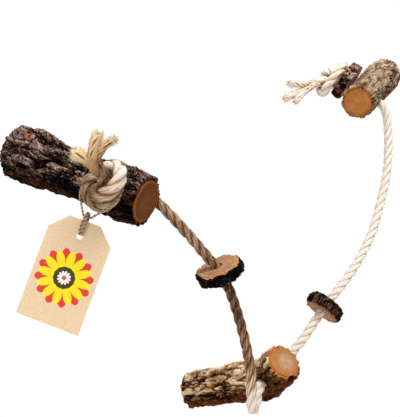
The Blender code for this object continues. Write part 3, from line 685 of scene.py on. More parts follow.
# %% Unlaid strands
# The radii of each tuft at its root and at its tip
LEFT_TUFT_RADII = ((0.0029, 0.0042), (0.0028, 0.0033), (0.0026, 0.0025))
RIGHT_TUFT_RADII = ((0.0028, 0.0034), (0.0028, 0.0034), (0.0027, 0.0032))
STRAND_SPREAD = 0.0022
TUFT_OVERLAP = 0.002
TUFT_NECK = 0.0035
TUFT_ARCH = 0.003
LEFT_TIPS = (
    Vector((-0.0206, -0.0446, 0.0208)),
    Vector((-0.0062, -0.0436, 0.0330)),
    Vector((0.0036, -0.0416, 0.0302)),
)
RIGHT_TIPS = (
    Vector((0.1345, 0.1364, 0.1047)),
    Vector((0.1300, 0.1354, 0.0902)),
    Vector((0.1405, 0.1374, 0.0872)),
)


def unlay(side, line, tips, radii, material):
    """Three tufts that go on from the strands at the end of a knot's line, to the tips that suit them."""
    way = Vector(line[-1] - line[-4]).normalized()
    end = Vector(line[-1])
    _, sides_of, ups = carried_sides(line)
    spokes = []
    for strand in range(3):
        turn = 2 * math.pi * (distance_along(line)[-1] / ROPE_LAY + strand / 3)
        spokes.append(Vector(sides_of[-1] * math.cos(turn) + ups[-1] * math.sin(turn)) * STRAND_SPREAD)
    best = min(itertools.permutations(range(3)),
               key=lambda order: sum((end + spokes[s] * 3 - t).length for s, t in zip(order, tips)))
    made = []
    for number, (strand, point) in enumerate(zip(best, tips), 1):
        start = end + spokes[strand]
        bend = start + way * TUFT_NECK
        over = bend.lerp(point, 0.5) + way * TUFT_ARCH
        run = through([start - way * TUFT_OVERLAP, start, bend, over, point], ROPE_STEP)
        piece = tuft(f"{side}_tuft_{number}", run, *radii[number - 1], number, material)
        joins(piece, "rope", "rope_fibre", f"{side}_strand_{number}")
        made.append(piece)
    return made


left_tufts = unlay("left", left_knot_line, LEFT_TIPS, LEFT_TUFT_RADII, TUFT_COTTON)
right_tufts = unlay("right", right_knot_line, RIGHT_TIPS, RIGHT_TUFT_RADII, CREAM_COTTON)
print("tufts:", len(left_tufts + right_tufts))


# %% [markdown]
# ## Loose fibres
# Cotton rope is never sharp at its edges: short fibres stand off it and catch the light. Each one here
# is a thin three-sided spike with one bend, ten triangles in all, so thousands of them stay light. They
# start at points of the rope's own surface and lean out at random from a fixed seed, so every run gives
# the same fuzz.

# %% Loose fibres
# Each fibre has three corners at its root, three at its bend and one at its tip
FIBRE_CORNERS = 7
FIBRE_WIDTH = 0.00011
FIBRE_SUNK = 0.0003
FIBRE_STRAY = 0.55
FIBRE_BEND = 0.45
TIP_REACH = 0.006


def fuzz(name, piece, material, count, reach, seed, near=None):
    """A count of short fibres that stand off a piece by up to a reach, near a point if one is given."""
    rng = np.random.default_rng(seed)
    mesh = piece.data
    places = np.empty(len(mesh.vertices) * 3)
    looks = np.empty(len(mesh.vertices) * 3)
    depth = np.empty(len(mesh.vertices))
    mesh.vertices.foreach_get("co", places)
    mesh.vertex_normals.foreach_get("vector", looks)
    mesh.attributes["groove"].data.foreach_get("value", depth)
    places, looks = places.reshape(-1, 3), looks.reshape(-1, 3)
    usable = depth < 0.5
    if near is not None:
        usable &= np.linalg.norm(places - np.array(near), axis=1) < TIP_REACH
    picked = rng.choice(np.nonzero(usable)[0], count)
    long = rng.uniform(0.4, 1.0, (count, 1)) ** 2 * reach
    first = looks[picked] * FIBRE_STRAY + rng.normal(0.0, FIBRE_STRAY, (count, 3))
    second = first + rng.normal(0.0, FIBRE_BEND, (count, 3))
    first /= np.linalg.norm(first, axis=1)[:, None]
    second /= np.linalg.norm(second, axis=1)[:, None]
    root = places[picked] - looks[picked] * FIBRE_SUNK
    middle = root + first * long * 0.5
    tip = middle + second * long * 0.5
    side = np.cross(first, rng.normal(0.0, 1.0, (count, 3)))
    side /= np.linalg.norm(side, axis=1)[:, None]
    other = np.cross(first, side)
    points, faces = [], []
    for i in range(count):
        base = FIBRE_CORNERS * i
        for centre, width in ((root[i], FIBRE_WIDTH / 2), (middle[i], FIBRE_WIDTH / 2.6)):
            for turn in (0.0, 2 * math.pi / 3, 4 * math.pi / 3):
                points.append(centre + (side[i] * math.cos(turn) + other[i] * math.sin(turn)) * width)
        points.append(tip[i])
        for j, k in ((0, 1), (1, 2), (2, 0)):
            faces.append((base + j, base + k, base + 3 + k, base + 3 + j))
            faces.append((base + 3 + j, base + 3 + k, base + 6))
        faces.append((base + 2, base + 1, base))
    fibres = bpy.data.meshes.new(name)
    fibres.from_pydata(points, [], faces)
    fibres.materials.append(material)
    made = bpy.data.objects.new(name, fibres)
    bpy.context.collection.objects.link(made)
    joins(made, "rope", "rope_fibre")
    return made


# %% Fibre material
# Patches of fibre of one tone in each metre, so about 8 mm across
FIBRE_PATCHES = 120.0


def loose_fibre(name, dark, pale):
    """Single cotton fibres: matt, in random patches of a dark and a pale tone that paint light and shade on
    them.
    """
    material, tree, shader = new_material(name)
    where = node(tree, "TexCoord")
    spots = node(tree, "TexNoise", {"Vector": where.outputs["Object"], "Scale": FIBRE_PATCHES,
                                    "Detail": 1.0})
    tones = node(tree, "ValToRGB", {"Fac": spots.outputs["Fac"]}, stops=((0.3, dark), (0.7, pale)))
    tree.links.new(tones.outputs[0], shader.inputs["Base Color"])
    shader.inputs["Roughness"].default_value = 0.95
    shader.inputs["Specular IOR Level"].default_value = 0.15
    return material


# A matt haze along the rope's edges, of the tone of the rope that it stands on
TAN_FIBRE = loose_fibre("loose_tan_fibre", "#B8966C", "#E6D2B4")
PALE_FIBRE = loose_fibre("loose_pale_fibre", "#DCC49E", "#F4E8D2")
CREAM_FIBRE = loose_fibre("loose_cream_fibre", "#EAD9C2", "#FFF6EA")
print("materials:", TAN_FIBRE.name, PALE_FIBRE.name, CREAM_FIBRE.name)

# %% Fibres on the rope
# The tan fibres on the left span and the left knot follow the shade painted on them
left_fuzz = fuzz("rope_left_fuzz", rope_left, TAN_FIBRE, count=2600, reach=0.0044, seed=11)
right_fuzz = fuzz("rope_right_fuzz", rope_right, CREAM_FIBRE, count=1900, reach=0.0042, seed=12)
knot_fuzz = [
    fuzz("left_knot_fuzz", left_knot, TAN_FIBRE, count=1100, reach=0.0045, seed=13),
    fuzz("right_knot_fuzz", right_knot, CREAM_FIBRE, count=900, reach=0.0045, seed=13),
]
tuft_fuzz = []
for made, points, fibre in ((left_tufts, LEFT_TIPS, PALE_FIBRE), (right_tufts, RIGHT_TIPS, CREAM_FIBRE)):
    for piece, point in zip(made, points):
        tuft_fuzz += [
            fuzz(f"{piece.name}_fuzz", piece, fibre, count=220, reach=0.005, seed=14),
            fuzz(f"{piece.name}_end", piece, fibre, count=700, reach=0.0042, seed=15, near=point),
        ]
corners = sum(len(piece.data.vertices) for piece in [left_fuzz, right_fuzz, *knot_fuzz, *tuft_fuzz])
print("fibres:", corners // FIBRE_CORNERS)


# %% [markdown]
# ## Noise
# Bark is random, but neighbouring spots are alike. Blender's noise textures give such numbers inside a
# material, and bark needs them for its shape too. So a table of random numbers is blended smoothly
# between its entries, for a whole array of spots at once. Finer and weaker noise added to it gives the
# mixture of large and small forms that weathered things have.

# %% Smooth noise
NOISE_SIZE = 32
NOISE_TABLE = np.random.default_rng(5).random((NOISE_SIZE, NOISE_SIZE, NOISE_SIZE))


def soft_noise(spots):
    """Smooth random numbers from 0 to 1 at an array of spots, with lumps about one unit across."""
    cell = np.floor(spots).astype(int)
    share = spots - cell
    share = share * share * (3.0 - 2.0 * share)
    total = np.zeros(spots.shape[:-1])
    for corner in np.ndindex(2, 2, 2):
        x, y, z = np.moveaxis((cell + corner) % NOISE_SIZE, -1, 0)
        total += np.prod(np.where(corner, share, 1.0 - share), axis=-1) * NOISE_TABLE[x, y, z]
    return total


def rough_noise(spots, octaves):
    """Smooth noise with finer and weaker noise added, each half the size of the one before."""
    weights = 0.5 ** np.arange(octaves)
    layers = [weight * soft_noise(spots * 2**k + 7.1 * k) for k, weight in enumerate(weights)]
    return sum(layers) / weights.sum()


print("noise table:", NOISE_TABLE.size, "numbers")


# %% [markdown]
# ## Bark as a material
# The logs keep their natural bark. It flakes in layers: the tops weather pale, the lips of the flakes
# are bleached, and the cracks are nearly black. The colour follows stored numbers: relief is 0 in a
# crack and 1 on the highest flake, lip marks the flakes' edges, and each flake has its own tone. Where
# the saw cut through, the inner bark shows in a warmer tone. A noise of 0.8 mm, drawn coarser than real
# bark grain so that it shows, roughens both the colour and the surface.

# %% Bark material
BARK_GRAIN_MM = 0.8
# Tinted patches in each metre, so about 11 mm across
BARK_PATCHES = 90.0
SCAR_WOOD = "#A26044"
# The near end's darkening: partly a stain, partly the knot's shadow painted on
STAIN_AND_SHADOW_BARK = "#8E5238"


def bark_finish(name, tones, lip, flake, patch, under, inner, climb=1.0, patch_blend="OVERLAY"):
    """Natural bark: tones run from the cracks to the tops of the flakes, and patch tints broad areas of it.
    Under paints shade on the lower side, more of it where climb is small."""
    material, tree, shader = new_material(name)
    stored = {}
    for word in ("relief", "lip", "tone", "stain", "under", "inner", "scar"):
        stored[word] = node(tree, "Attribute", attribute_name=word).outputs["Fac"]
    where = node(tree, "TexCoord")
    grain = node(tree, "TexNoise", {"Vector": where.outputs["Object"], "Scale": 1000 / BARK_GRAIN_MM,
                                    "Detail": 3.0})
    rough = node(tree, "MapRange", {"Value": grain.outputs["Fac"], "From Min": 0.3, "From Max": 0.7,
                                    "To Min": -0.1, "To Max": 0.1}).outputs[0]
    level = node(tree, "Math", {0: stored["relief"], 1: rough}, operation="ADD", use_clamp=True)
    broad = node(tree, "TexNoise", {"Vector": where.outputs["Object"], "Scale": BARK_PATCHES,
                                    "Detail": 2.0})
    edge = node(tree, "Math", {0: stored["lip"], 1: level.outputs[0]}, operation="MULTIPLY")
    ragged = node(tree, "Math", {0: stored["inner"], 1: rough}, operation="ADD")
    ringed = node(tree, "Math", {0: stored["scar"], 1: rough}, operation="ADD")
    # Each coat: the number that guides it, where it starts and is full, how much it covers at most, its
    # colour and how that is mixed with what lies under it
    coats = (
        (stored["tone"], 0.45, 0.75, 0.7, flake, "SOFT_LIGHT"),
        (broad.outputs["Fac"], 0.48, 0.62, 0.75, patch, patch_blend),
        # Partly a stain and partly the knot's shadow, painted on the near end
        (stored["stain"], 0.0, 1.0, 1.0, STAIN_AND_SHADOW_BARK, "MULTIPLY"),
        (edge.outputs[0], 0.25, 0.85, 0.8, lip, "MIX"),
        # Painted shade on the lower side
        (stored["under"], 0.0, climb, 1.0, under, "MULTIPLY"),
        (ragged.outputs[0], 0.15, 0.4, 1.0, inner, "MIX"),
        (ringed.outputs[0], 0.2, 0.8, 1.0, SCAR_WOOD, "MIX"),
    )
    shown = node(tree, "ValToRGB", {"Fac": level.outputs[0]}, stops=tones).outputs[0]
    for guide, start, full, most, code, blend in coats:
        amount = node(tree, "MapRange", {"Value": guide, "From Min": start, "From Max": full,
                                         "To Max": most})
        mix = node(tree, "Mix", {MIX_FACTOR: amount.outputs[0], MIX_FIRST: shown,
                                 MIX_SECOND: colour(code)}, data_type="RGBA", blend_type=blend)
        shown = mix.outputs[MIXED]
    bump = node(tree, "Bump", {"Height": grain.outputs["Fac"], "Strength": 0.8, "Distance": 0.0004})
    tree.links.new(shown, shader.inputs["Base Color"])
    tree.links.new(bump.outputs[0], shader.inputs["Normal"])
    shader.inputs["Roughness"].default_value = 0.9
    shader.inputs["Specular IOR Level"].default_value = 0.05
    return material


# %% Six barks
# Dark thin flakes with bleached lips over black cracks, so the log looks old, dry and rough
LEFT_BARK = bark_finish(
    "flaking_dark_bark", ((0.0, "#080201"), (0.35, "#1E0F0A"), (0.65, "#48332A"), (1.0, "#7E675A")),
    lip="#C4AC9C", flake="#6E4630", patch="#8E5A46", under="#724C3A", inner="#5E3216")
# Grey-brown scales of nearly one tone, weathered and dusty
RIGHT_BARK = bark_finish(
    "curling_grey_bark", ((0.0, "#362416"), (0.3, "#786049"), (0.65, "#9A826C"), (1.0, "#C0AB97")),
    lip="#C8B3A0", flake="#94704E", patch="#8C8672", under="#C0A892", inner="#A05E2C")
# Straw-coloured blocks between deep brown furrows, the brightest bark of all
LOWER_BARK = bark_finish(
    "furrowed_tan_bark", ((0.0, "#1C0A03"), (0.3, "#623C1E"), (0.62, "#C29A6C"), (1.0, "#FAE8CC")),
    lip="#FCEEDA", flake="#8C7A3A", patch="#7E6844", under="#6E4A2C", inner="#B06A32", climb=0.8)
# Nearly black and thick, like charred cork, with a bright cut edge
BLACK_BARK = bark_finish(
    "thick_black_bark", ((0.0, "#000000"), (0.4, "#060403"), (0.75, "#140E0B"), (1.0, "#463A32")),
    lip="#4A3E36", flake="#3A2418", patch="#7A5A3A", under="#6E5A50", inner="#C48E5E")
# The same thick bark, worn to brown on its ridges
BROWN_BARK = bark_finish(
    "thick_brown_bark", ((0.0, "#040100"), (0.4, "#100603"), (0.75, "#2A1A11"), (1.0, "#665040")),
    lip="#705A48", flake="#6E4228", patch="#200E04", under="#6E5242", inner="#A47040", patch_blend="SCREEN")
# Reddish flakes with pale lips that catch the light
RUSSET_BARK = bark_finish(
    "flaking_russet_bark", ((0.0, "#140805"), (0.35, "#422A1E"), (0.65, "#765846"), (1.0, "#AE9482")),
    lip="#E6D4C4", flake="#6E5030", patch="#7E6A4E", under="#8A6A5A", inner="#A87442")
BARKS = (LEFT_BARK, RIGHT_BARK, LOWER_BARK, BLACK_BARK, BROWN_BARK, RUSSET_BARK)
print("barks:", [bark.name for bark in BARKS])


# %% [markdown]
# ## Flakes and cracks
# Old bark comes off in layers, so its surface is stepped like a map of hills: flat treads, sharp edges
# and outlines that wander. Rounding a smooth noise down to a few levels gives exactly such steps.
# Cracks lie where a second noise crosses its middle value, which makes long wandering lines. Stretching
# both noises along the log makes flakes and cracks longer than they are wide.

# %% Flakes and cracks
STEP_EDGE = 0.2
LIP_WIDTH = 0.17
STEP_SPREAD = 1.9
OUTLINE_SCALE = 0.9
OUTLINE_BEND = 0.9
CRACK_STRETCH = (1.0, 1.0, 0.55)
TONE_SCALE = 0.7
# Shifts read distant parts of the noise, so that bends, cracks and tones don't repeat each other
BEND_SHIFTS = (11.3, 23.9, 37.1)
CRACK_SHIFT = 51.7
TONE_SHIFT = 5.3


def bark_layers(place, kind, seed):
    """Bark at places in millimetres: its height, how near each place is to the lip of a flake, and the tone
    of its flake. A kind gives the flakes' length and width, their whole height and number of steps, and the
    cracks' depth and width."""
    long, wide, lift, steps, crack, split = kind
    spots = place / (wide, wide, long) + seed
    bend = np.stack([rough_noise(spots * OUTLINE_SCALE + shift, 2) for shift in BEND_SHIFTS], axis=-1)
    spots = spots + OUTLINE_BEND * (bend - 0.5)
    worn = np.clip(0.5 + STEP_SPREAD * (rough_noise(spots, 3) - 0.5), 0.0, 0.999) * steps
    step = np.floor(worn)
    rise = np.clip((worn - step) / STEP_EDGE, 0.0, 1.0)
    lip = np.exp(-(((worn - step - STEP_EDGE) / LIP_WIDTH) ** 2))
    wander = np.abs(rough_noise(spots * CRACK_STRETCH + CRACK_SHIFT, 2) - 0.5)
    opened = np.clip(1.0 - wander / split, 0.0, 1.0)
    height = lift * (step + rise * rise * (3.0 - 2.0 * rise)) / steps - crack * opened
    tone = soft_noise(spots * TONE_SCALE + step[..., None] * TONE_SHIFT)
    return height, lip * (1.0 - opened), tone


# %% [markdown]
# ## Rolling a sheet of bark
# Bark is a sheet wrapped round the wood, and that is how it is made here: a flat grid is added, rolled
# round the log's line, and its two seams are merged. The grid's rows run over the outside, turn in at
# the far sawn end, come back under the bark and turn out at the near end, so the sheet closes on itself
# with a real thickness. The CAD bark already has the lumps of the real one, so rays cast at it give the
# sheet its radius, and the flakes are added to that. A displacement texture could raise them too, but
# moving the vertices in code lets the cracks, the heights and the colours all come from the same
# numbers.

# %% Radius of the CAD bark
CAD_SAMPLE = 0.002
CAD_RIM = 0.0022
CAD_SPREAD = 0.25
RAY_START = 0.06


def on_line(line, shares):
    """Points, and the two directions square to them, at shares of the way along a line."""
    _, sides_of, ups = carried_sides(line)
    places = distance_along(line) / distance_along(line)[-1]
    return [np.column_stack([np.interp(shares, places, kind[:, axis]) for axis in range(3)])
            for kind in (line, sides_of, ups)]


def cad_solid(node_name):
    """A CAD node as a solid that rays can be cast at."""
    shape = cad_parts[node_name].data
    return BVHTree.FromPolygons([v.co for v in shape.vertices], [p.vertices[:] for p in shape.polygons])


def cad_radius(node_name, line, width, share, turns):
    """How far a CAD bark's outside lies from a line, at shares of its length and turns round it. Width is
    the log's radius there, which also stands in where the rope's hole opens."""
    solid = cad_solid(node_name)
    length = distance_along(line)[-1]
    rows = np.linspace(CAD_RIM, length - CAD_RIM, max(3, round(length / CAD_SAMPLE))) / length
    around = round(2 * math.pi * width.mean() / CAD_SAMPLE)
    columns = np.linspace(0.0, 2 * math.pi, around, endpoint=False)
    found = np.empty((len(rows), len(columns)))
    for i, (middle, side, up) in enumerate(zip(*on_line(line, rows))):
        usual = np.interp(rows[i], share, width)
        for j, turn in enumerate(columns):
            spoke = Vector(side * math.cos(turn) + up * math.sin(turn))
            hit = solid.ray_cast(Vector(middle) + spoke * RAY_START, -spoke)
            radius = RAY_START - hit[3] if hit[0] else usual
            found[i, j] = radius if abs(radius - usual) < CAD_SPREAD * usual else usual
    along = np.array([np.interp(share, rows, column) for column in found.T]).T
    closed = np.hstack([along, along[:, :1]])
    return np.array([np.interp(turns, np.append(columns, 2 * math.pi), row) for row in closed])


# %% Rows of a closed sheet
BARK_GRID = 0.00046
LIP_ROWS = 5
WORN_REACH = (0.008, 0.018)
LEAST_WORN = 0.1


def girth_radius(girth, diameter, share):
    """A log's radius at shares of its length."""
    return diameter / 2 * np.interp(share, np.linspace(0.0, 1.0, len(girth)), girth)


def sheet_rows(rows):
    """For each row of a closed sheet with so many rows outside: its share of the log's length, its depth,
    from 0 outside to 1 inside, and the outside row whose relief it takes."""
    turn_in = np.linspace(0.0, 1.0, LIP_ROWS + 1)
    share = np.concatenate(
        [np.linspace(0, 1, rows), np.ones(LIP_ROWS), turn_in[-2:0:-1], np.zeros(LIP_ROWS)])
    depth = np.concatenate([np.zeros(rows), turn_in[1:], np.ones(LIP_ROWS - 1), turn_in[:0:-1]])
    outer_row = np.minimum(np.arange(len(share)), rows - 1)
    outer_row[rows + LIP_ROWS:] = 0
    return share, depth, outer_row


def height_kept(hole, line, share, turns, radius):
    """How much of the flakes' height is left on bark of this radius, which the rope wears down round its
    hole. A hole is its middle and its direction."""
    middle, sides_of, ups = [kind[:, None] for kind in on_line(line, share)]
    spokes = sides_of * np.cos(turns)[:, None] + ups * np.sin(turns)[:, None]
    away = middle + spokes * radius[..., None] - np.array(hole[0])
    off_axis = np.linalg.norm(np.cross(away, hole[1]), axis=-1)
    return np.clip((off_axis - WORN_REACH[0]) / (WORN_REACH[1] - WORN_REACH[0]), LEAST_WORN, 1.0)


# %% Rolling a grid
SCAR_RADIUS = 0.0027
SCAR_SWELL = 0.0022
SCAR_RING_HEIGHT = 0.0006
SCAR_HOLLOW = 0.0010
# In scar radii: the ring's middle and width, and the reach of the swelling and of the hollow
SCAR_RING = 0.75
SCAR_RING_WIDTH = 0.26
SCAR_SWELL_REACH = 2.8
SCAR_HOLLOW_REACH = 0.5
SEAM_GAP = 0.000002


def clear_selection():
    """Object mode with nothing selected, so that the next operator acts on its own piece alone."""
    if bpy.context.object and bpy.context.object.mode != "OBJECT":
        bpy.ops.object.mode_set(mode="OBJECT")
    bpy.ops.object.select_all(action="DESELECT")


def healed_scar(points, spokes, scar):
    """Points raised to the swollen ring of a cut twig, and how much each of them belongs to that ring."""
    away = np.linalg.norm(points - np.array(scar), axis=1) / SCAR_RADIUS
    ring = np.exp(-(((away - SCAR_RING) / SCAR_RING_WIDTH) ** 2))
    swell = SCAR_SWELL * np.exp(-((away / SCAR_SWELL_REACH) ** 2)) + SCAR_RING_HEIGHT * ring
    swell = swell - SCAR_HOLLOW * np.exp(-((away / SCAR_HOLLOW_REACH) ** 2))
    return points + spokes * swell[:, None], ring


def roll_grid(name, points, shape, numbers, material):
    """A flat grid carried onto points and closed along both seams. Shape is its rows and columns, and
    numbers are what it stores for its material."""
    clear_selection()
    bpy.ops.mesh.primitive_grid_add(x_subdivisions=shape[0], y_subdivisions=shape[1], size=1.0,
                                    location=(0, 0, 0))
    piece = bpy.context.object
    piece.name = piece.data.name = name
    flat = np.array([v.co for v in piece.data.vertices])
    row = np.rint((flat[:, 0] + 0.5) * shape[0]).astype(int) % shape[0]
    column = np.rint((flat[:, 1] + 0.5) * shape[1]).astype(int) % shape[1]
    piece.data.vertices.foreach_set("co", points[row * shape[1] + column].ravel())
    for word, values in numbers.items():
        store(piece, word, np.broadcast_to(values, shape)[row, column])
    bpy.ops.object.mode_set(mode="EDIT")
    bpy.ops.mesh.select_all(action="SELECT")
    bpy.ops.mesh.remove_doubles(threshold=SEAM_GAP)
    bpy.ops.mesh.normals_make_consistent(inside=False)
    bpy.ops.object.mode_set(mode="OBJECT")
    piece.data.materials.append(material)
    bpy.ops.object.shade_smooth_by_angle(angle=math.radians(60.0))
    return piece


# %% Rolled bark
BARK_THICKNESS = 0.0022
LEAST_BARK = 0.0003
BARK_SUNK = 0.0004
BARK_SETBACK = 0.0008
SAW_WANDER = 0.0016
SAW_WAVES = 5
EDGE_WEAR = 0.0006
EDGE_REACH = 0.0008
STAIN_AND_SHADOW_REACH = 0.034
LAYER_SHIFT = 9.0
# Painted shade: how dark the bark is made where it looks sideways, and how much darker where it looks down
LEVEL_SHADE = 0.3
DOWN_SHADE = 1.1


def roll_bark(name, node_name, line, girth, diameter, kinds, seed, material, hole=None, scar=None,
              stained=0.0):
    """A closed sheet of bark round a line, over the shape of a CAD node. Kinds are its layers of flakes.
    Hole is the rope's, scar the place of a cut twig, and the last argument says how dark the near end is,
    which is partly a stain and partly the knot's shadow painted on."""
    length = distance_along(line)[-1]
    rows = round(length / BARK_GRID)
    columns = round(math.pi * diameter / BARK_GRID)
    share, depth, outer_row = sheet_rows(rows)
    count = len(share)
    turns = np.linspace(0.0, 2 * math.pi, columns, endpoint=False)
    width = girth_radius(girth, diameter, share)[:, None] * np.ones(columns)
    over = cad_radius(node_name, line, width[:rows, 0], share[:rows], turns)

    along = np.outer(share[:rows], np.full(columns, length))
    place = np.stack([over * np.cos(turns), over * np.sin(turns), along], axis=-1) * 1000
    layers = [bark_layers(place, kind, seed + LAYER_SHIFT * k) for k, kind in enumerate(kinds)]
    height = sum(layer[0] for layer in layers) / 1000
    height -= height.mean()
    relief = np.clip(0.5 + height / (4.0 * height.std()), 0.0, 1.0)
    lip = np.max([layer[1] for layer in layers], axis=0)
    if hole is not None:
        height *= height_kept(hole, line, share[:rows], turns, over)
    from_end = np.minimum(share, 1 - share)[:, None] * length
    radius = (over + height)[outer_row] - EDGE_WEAR * np.exp(-from_end / EDGE_REACH)
    radius = np.maximum(radius, width - BARK_THICKNESS + LEAST_BARK)
    radius += (width - BARK_THICKNESS - BARK_SUNK - radius) * depth[:, None]

    around = np.column_stack([SAW_WAVES * np.cos(turns), SAW_WAVES * np.sin(turns), np.full(columns, seed)])
    set_in = BARK_SETBACK + SAW_WANDER * (soft_noise(around) - 0.5)
    stretch = (set_in + share[:, None] * (length - 2 * set_in)) / length
    middle, sides_of, ups = on_line(line, stretch.ravel())
    every_turn = np.tile(turns, count)[:, None]
    spokes = sides_of * np.cos(every_turn) + ups * np.sin(every_turn)
    points = middle + spokes * radius.ravel()[:, None]
    scarred = np.zeros(len(points))
    if scar is not None:
        points, scarred = healed_scar(points, spokes, scar)
    # Darker towards the near end: partly a stain, partly the knot's shadow painted on it
    stain = stained * np.clip(1.0 - share * length / STAIN_AND_SHADOW_REACH, 0.0, 1.0)[:, None] ** 0.5
    up = spokes[:, 2].reshape(count, columns)
    numbers = {
        "relief": relief[outer_row],
        "lip": lip[outer_row],
        "tone": layers[0][2][outer_row],
        "stain": stain,
        # Painted shade on the lower side, with the near end's darkening added
        "under": np.clip(LEVEL_SHADE - DOWN_SHADE * up + stain, 0.0, 1.0),
        "inner": depth[:, None],
        "scar": scarred.reshape(count, columns),
    }
    return roll_grid(name, points, (count, columns), numbers, material)


# %% Drilling
# A little wider than the CAD hole, so that the rope's bend clears the hole's edge when a log turns
HOLE_DIAMETER = 0.0096


def drill(piece, place, way, length, diameter=HOLE_DIAMETER, solver="MANIFOLD"):
    """Cuts a round hole through a piece, the rope's unless another diameter is given."""
    clear_selection()
    bpy.ops.mesh.primitive_cylinder_add(vertices=40, radius=diameter / 2, depth=length, location=place,
                                        rotation=way.to_track_quat("Z", "Y").to_euler())
    bit = bpy.context.object
    cut = piece.modifiers.new("hole", "BOOLEAN")
    cut.object = bit
    cut.operation = "DIFFERENCE"
    cut.solver = solver
    bpy.context.view_layer.objects.active = piece
    bpy.ops.object.modifier_apply(modifier=cut.name)
    bpy.data.objects.remove(bit, do_unlink=True)


def log_bark(side, log, flakes, material, slot, **marks):
    """A log's bark, drilled for the rope. A log is its line, girth, diameter, seed, and its hole's middle
    and direction."""
    line, girth, diameter, seed, middle, hole_way = log
    piece = roll_bark(f"{side}_bark", f"{side}_log_bark", line, girth, diameter, flakes, seed, material,
                      (middle, hole_way), **marks)
    drill(piece, middle, hole_way, 2 * diameter)
    joins(piece, f"{side}_log", slot, f"{side}_log_bark")
    print(piece.name, len(piece.data.polygons), "faces")


# %% [markdown]
# ## Left log
# The thickest log, with dark bark in thin overlapping flakes, longer along the log than round it. Near
# its far end, on the swollen collar of a side branch, a twig was cut off and left a small orange scar.
# Two layers of flakes make the bark: large ones, and small ones on top. The scar is placed by looking:
# a ray from the camera through its spot in the photograph finds the bark behind that spot.

# %% Left log's bark
LEFT_LOG_LENGTH = 0.114
LEFT_LOG_INSET = 0.021
LEFT_LOG_GIRTH = (0.95, 1.04, 0.99, 0.93, 0.97, 1.12, 1.17)
LEFT_LOG_DIAMETER = 0.034
LEFT_LOG_SEED = 1.7
SCAR_PIXEL = (31.0, 139.0)
PHOTO_HEIGHT = 417
# How dark the near end is: partly a stain, partly the knot's shadow painted on
LEFT_LOG_STAIN_AND_SHADOW = 0.7
LOG_POINTS = 60
# Each kind of flakes: length, width, whole height, number of steps, crack depth and crack width
LEFT_FLAKES = ((11.0, 4.0, 3.4, 4, 1.6, 0.05), (5.0, 1.9, 1.0, 3, 0.5, 0.05))


def straight(middle, way, inset, length):
    """The line of a straight log, from its near sawn end to its far one."""
    near = middle + way * inset
    return evenly(np.array([near, near - way * length]), LOG_POINTS)


def seen_at(pixel, node_name):
    """The place on a CAD node that the camera sees at a pixel of the photograph."""
    look = Vector((pixel[0] - PHOTO_WIDTH / 2, FOCAL_PIXELS, PHOTO_HEIGHT / 2 - pixel[1])).normalized()
    return cad_solid(node_name).ray_cast(Vector(CAMERA_PLACE), look)[0]


left_log_line = straight(LEFT_LOG_MIDDLE, LEFT_LOG_WAY, LEFT_LOG_INSET, LEFT_LOG_LENGTH)
LEFT_LOG = (
    left_log_line, LEFT_LOG_GIRTH, LEFT_LOG_DIAMETER, LEFT_LOG_SEED, LEFT_LOG_MIDDLE, LEFT_HOLE_WAY)
twig_scar = seen_at(SCAR_PIXEL, "left_log_bark")
log_bark("left", LEFT_LOG, LEFT_FLAKES, LEFT_BARK, "dark_bark", scar=twig_scar, stained=LEFT_LOG_STAIN_AND_SHADOW)


# %% [markdown]
# ## Right log and lower log
# The right log has paler bark in short curling scales. The lower log is crooked, with lumpy bark that
# has cracked into blocks, so its flakes are short and its cracks deep. Its line is a smooth curve with
# a long left arm and a short right arm that rises to the front.

# %% Right log's bark
RIGHT_LOG_LENGTH = 0.097
RIGHT_LOG_INSET = 0.027
RIGHT_LOG_GIRTH = (0.94, 0.97, 0.98, 1.03, 1.1, 1.08)
RIGHT_LOG_DIAMETER = 0.031
RIGHT_LOG_SEED = 4.1
RIGHT_FLAKES = ((9.0, 4.2, 1.6, 3, 1.3, 0.07), (4.5, 2.1, 0.7, 3, 0.6, 0.06))

right_log_line = straight(RIGHT_LOG_MIDDLE, RIGHT_LOG_WAY, RIGHT_LOG_INSET, RIGHT_LOG_LENGTH)
RIGHT_LOG = (
    right_log_line, RIGHT_LOG_GIRTH, RIGHT_LOG_DIAMETER, RIGHT_LOG_SEED, RIGHT_LOG_MIDDLE, RIGHT_HOLE_WAY)
log_bark("right", RIGHT_LOG, RIGHT_FLAKES, RIGHT_BARK, "pale_bark")

# %% Lower log's bark
LOWER_LOG_DIAMETER = 0.029
LOWER_LOG_SEED = 6.3
LOWER_LOG_STEP = 0.002
LOWER_LOG_GIRTH = (0.93, 1.0, 0.98, 1.05, 1.06, 0.96, 0.92)
LOWER_LEFT_ARM = Vector((-0.857, 0.43, -0.283)).normalized() * 0.074
LOWER_RIGHT_ARM = Vector((0.33, -0.70, 0.63)).normalized() * 0.031
LOWER_FLAKES = ((7.5, 3.8, 2.6, 4, 1.5, 0.07), (2.8, 1.5, 1.2, 3, 0.5, 0.06))

lower_points = [LOWER_LOG_MIDDLE + LOWER_LEFT_ARM * share for share in (1.0, 0.66, 0.33)]
lower_points += [LOWER_LOG_MIDDLE + LOWER_RIGHT_ARM * share for share in (0.0, 0.5, 1.0)]
lower_log_line = through(lower_points, LOWER_LOG_STEP)
LOWER_LOG = (
    lower_log_line, LOWER_LOG_GIRTH, LOWER_LOG_DIAMETER, LOWER_LOG_SEED, LOWER_LOG_MIDDLE, LOWER_HOLE_WAY)
log_bark("lower", LOWER_LOG, LOWER_FLAKES, LOWER_BARK, "pale_bark")


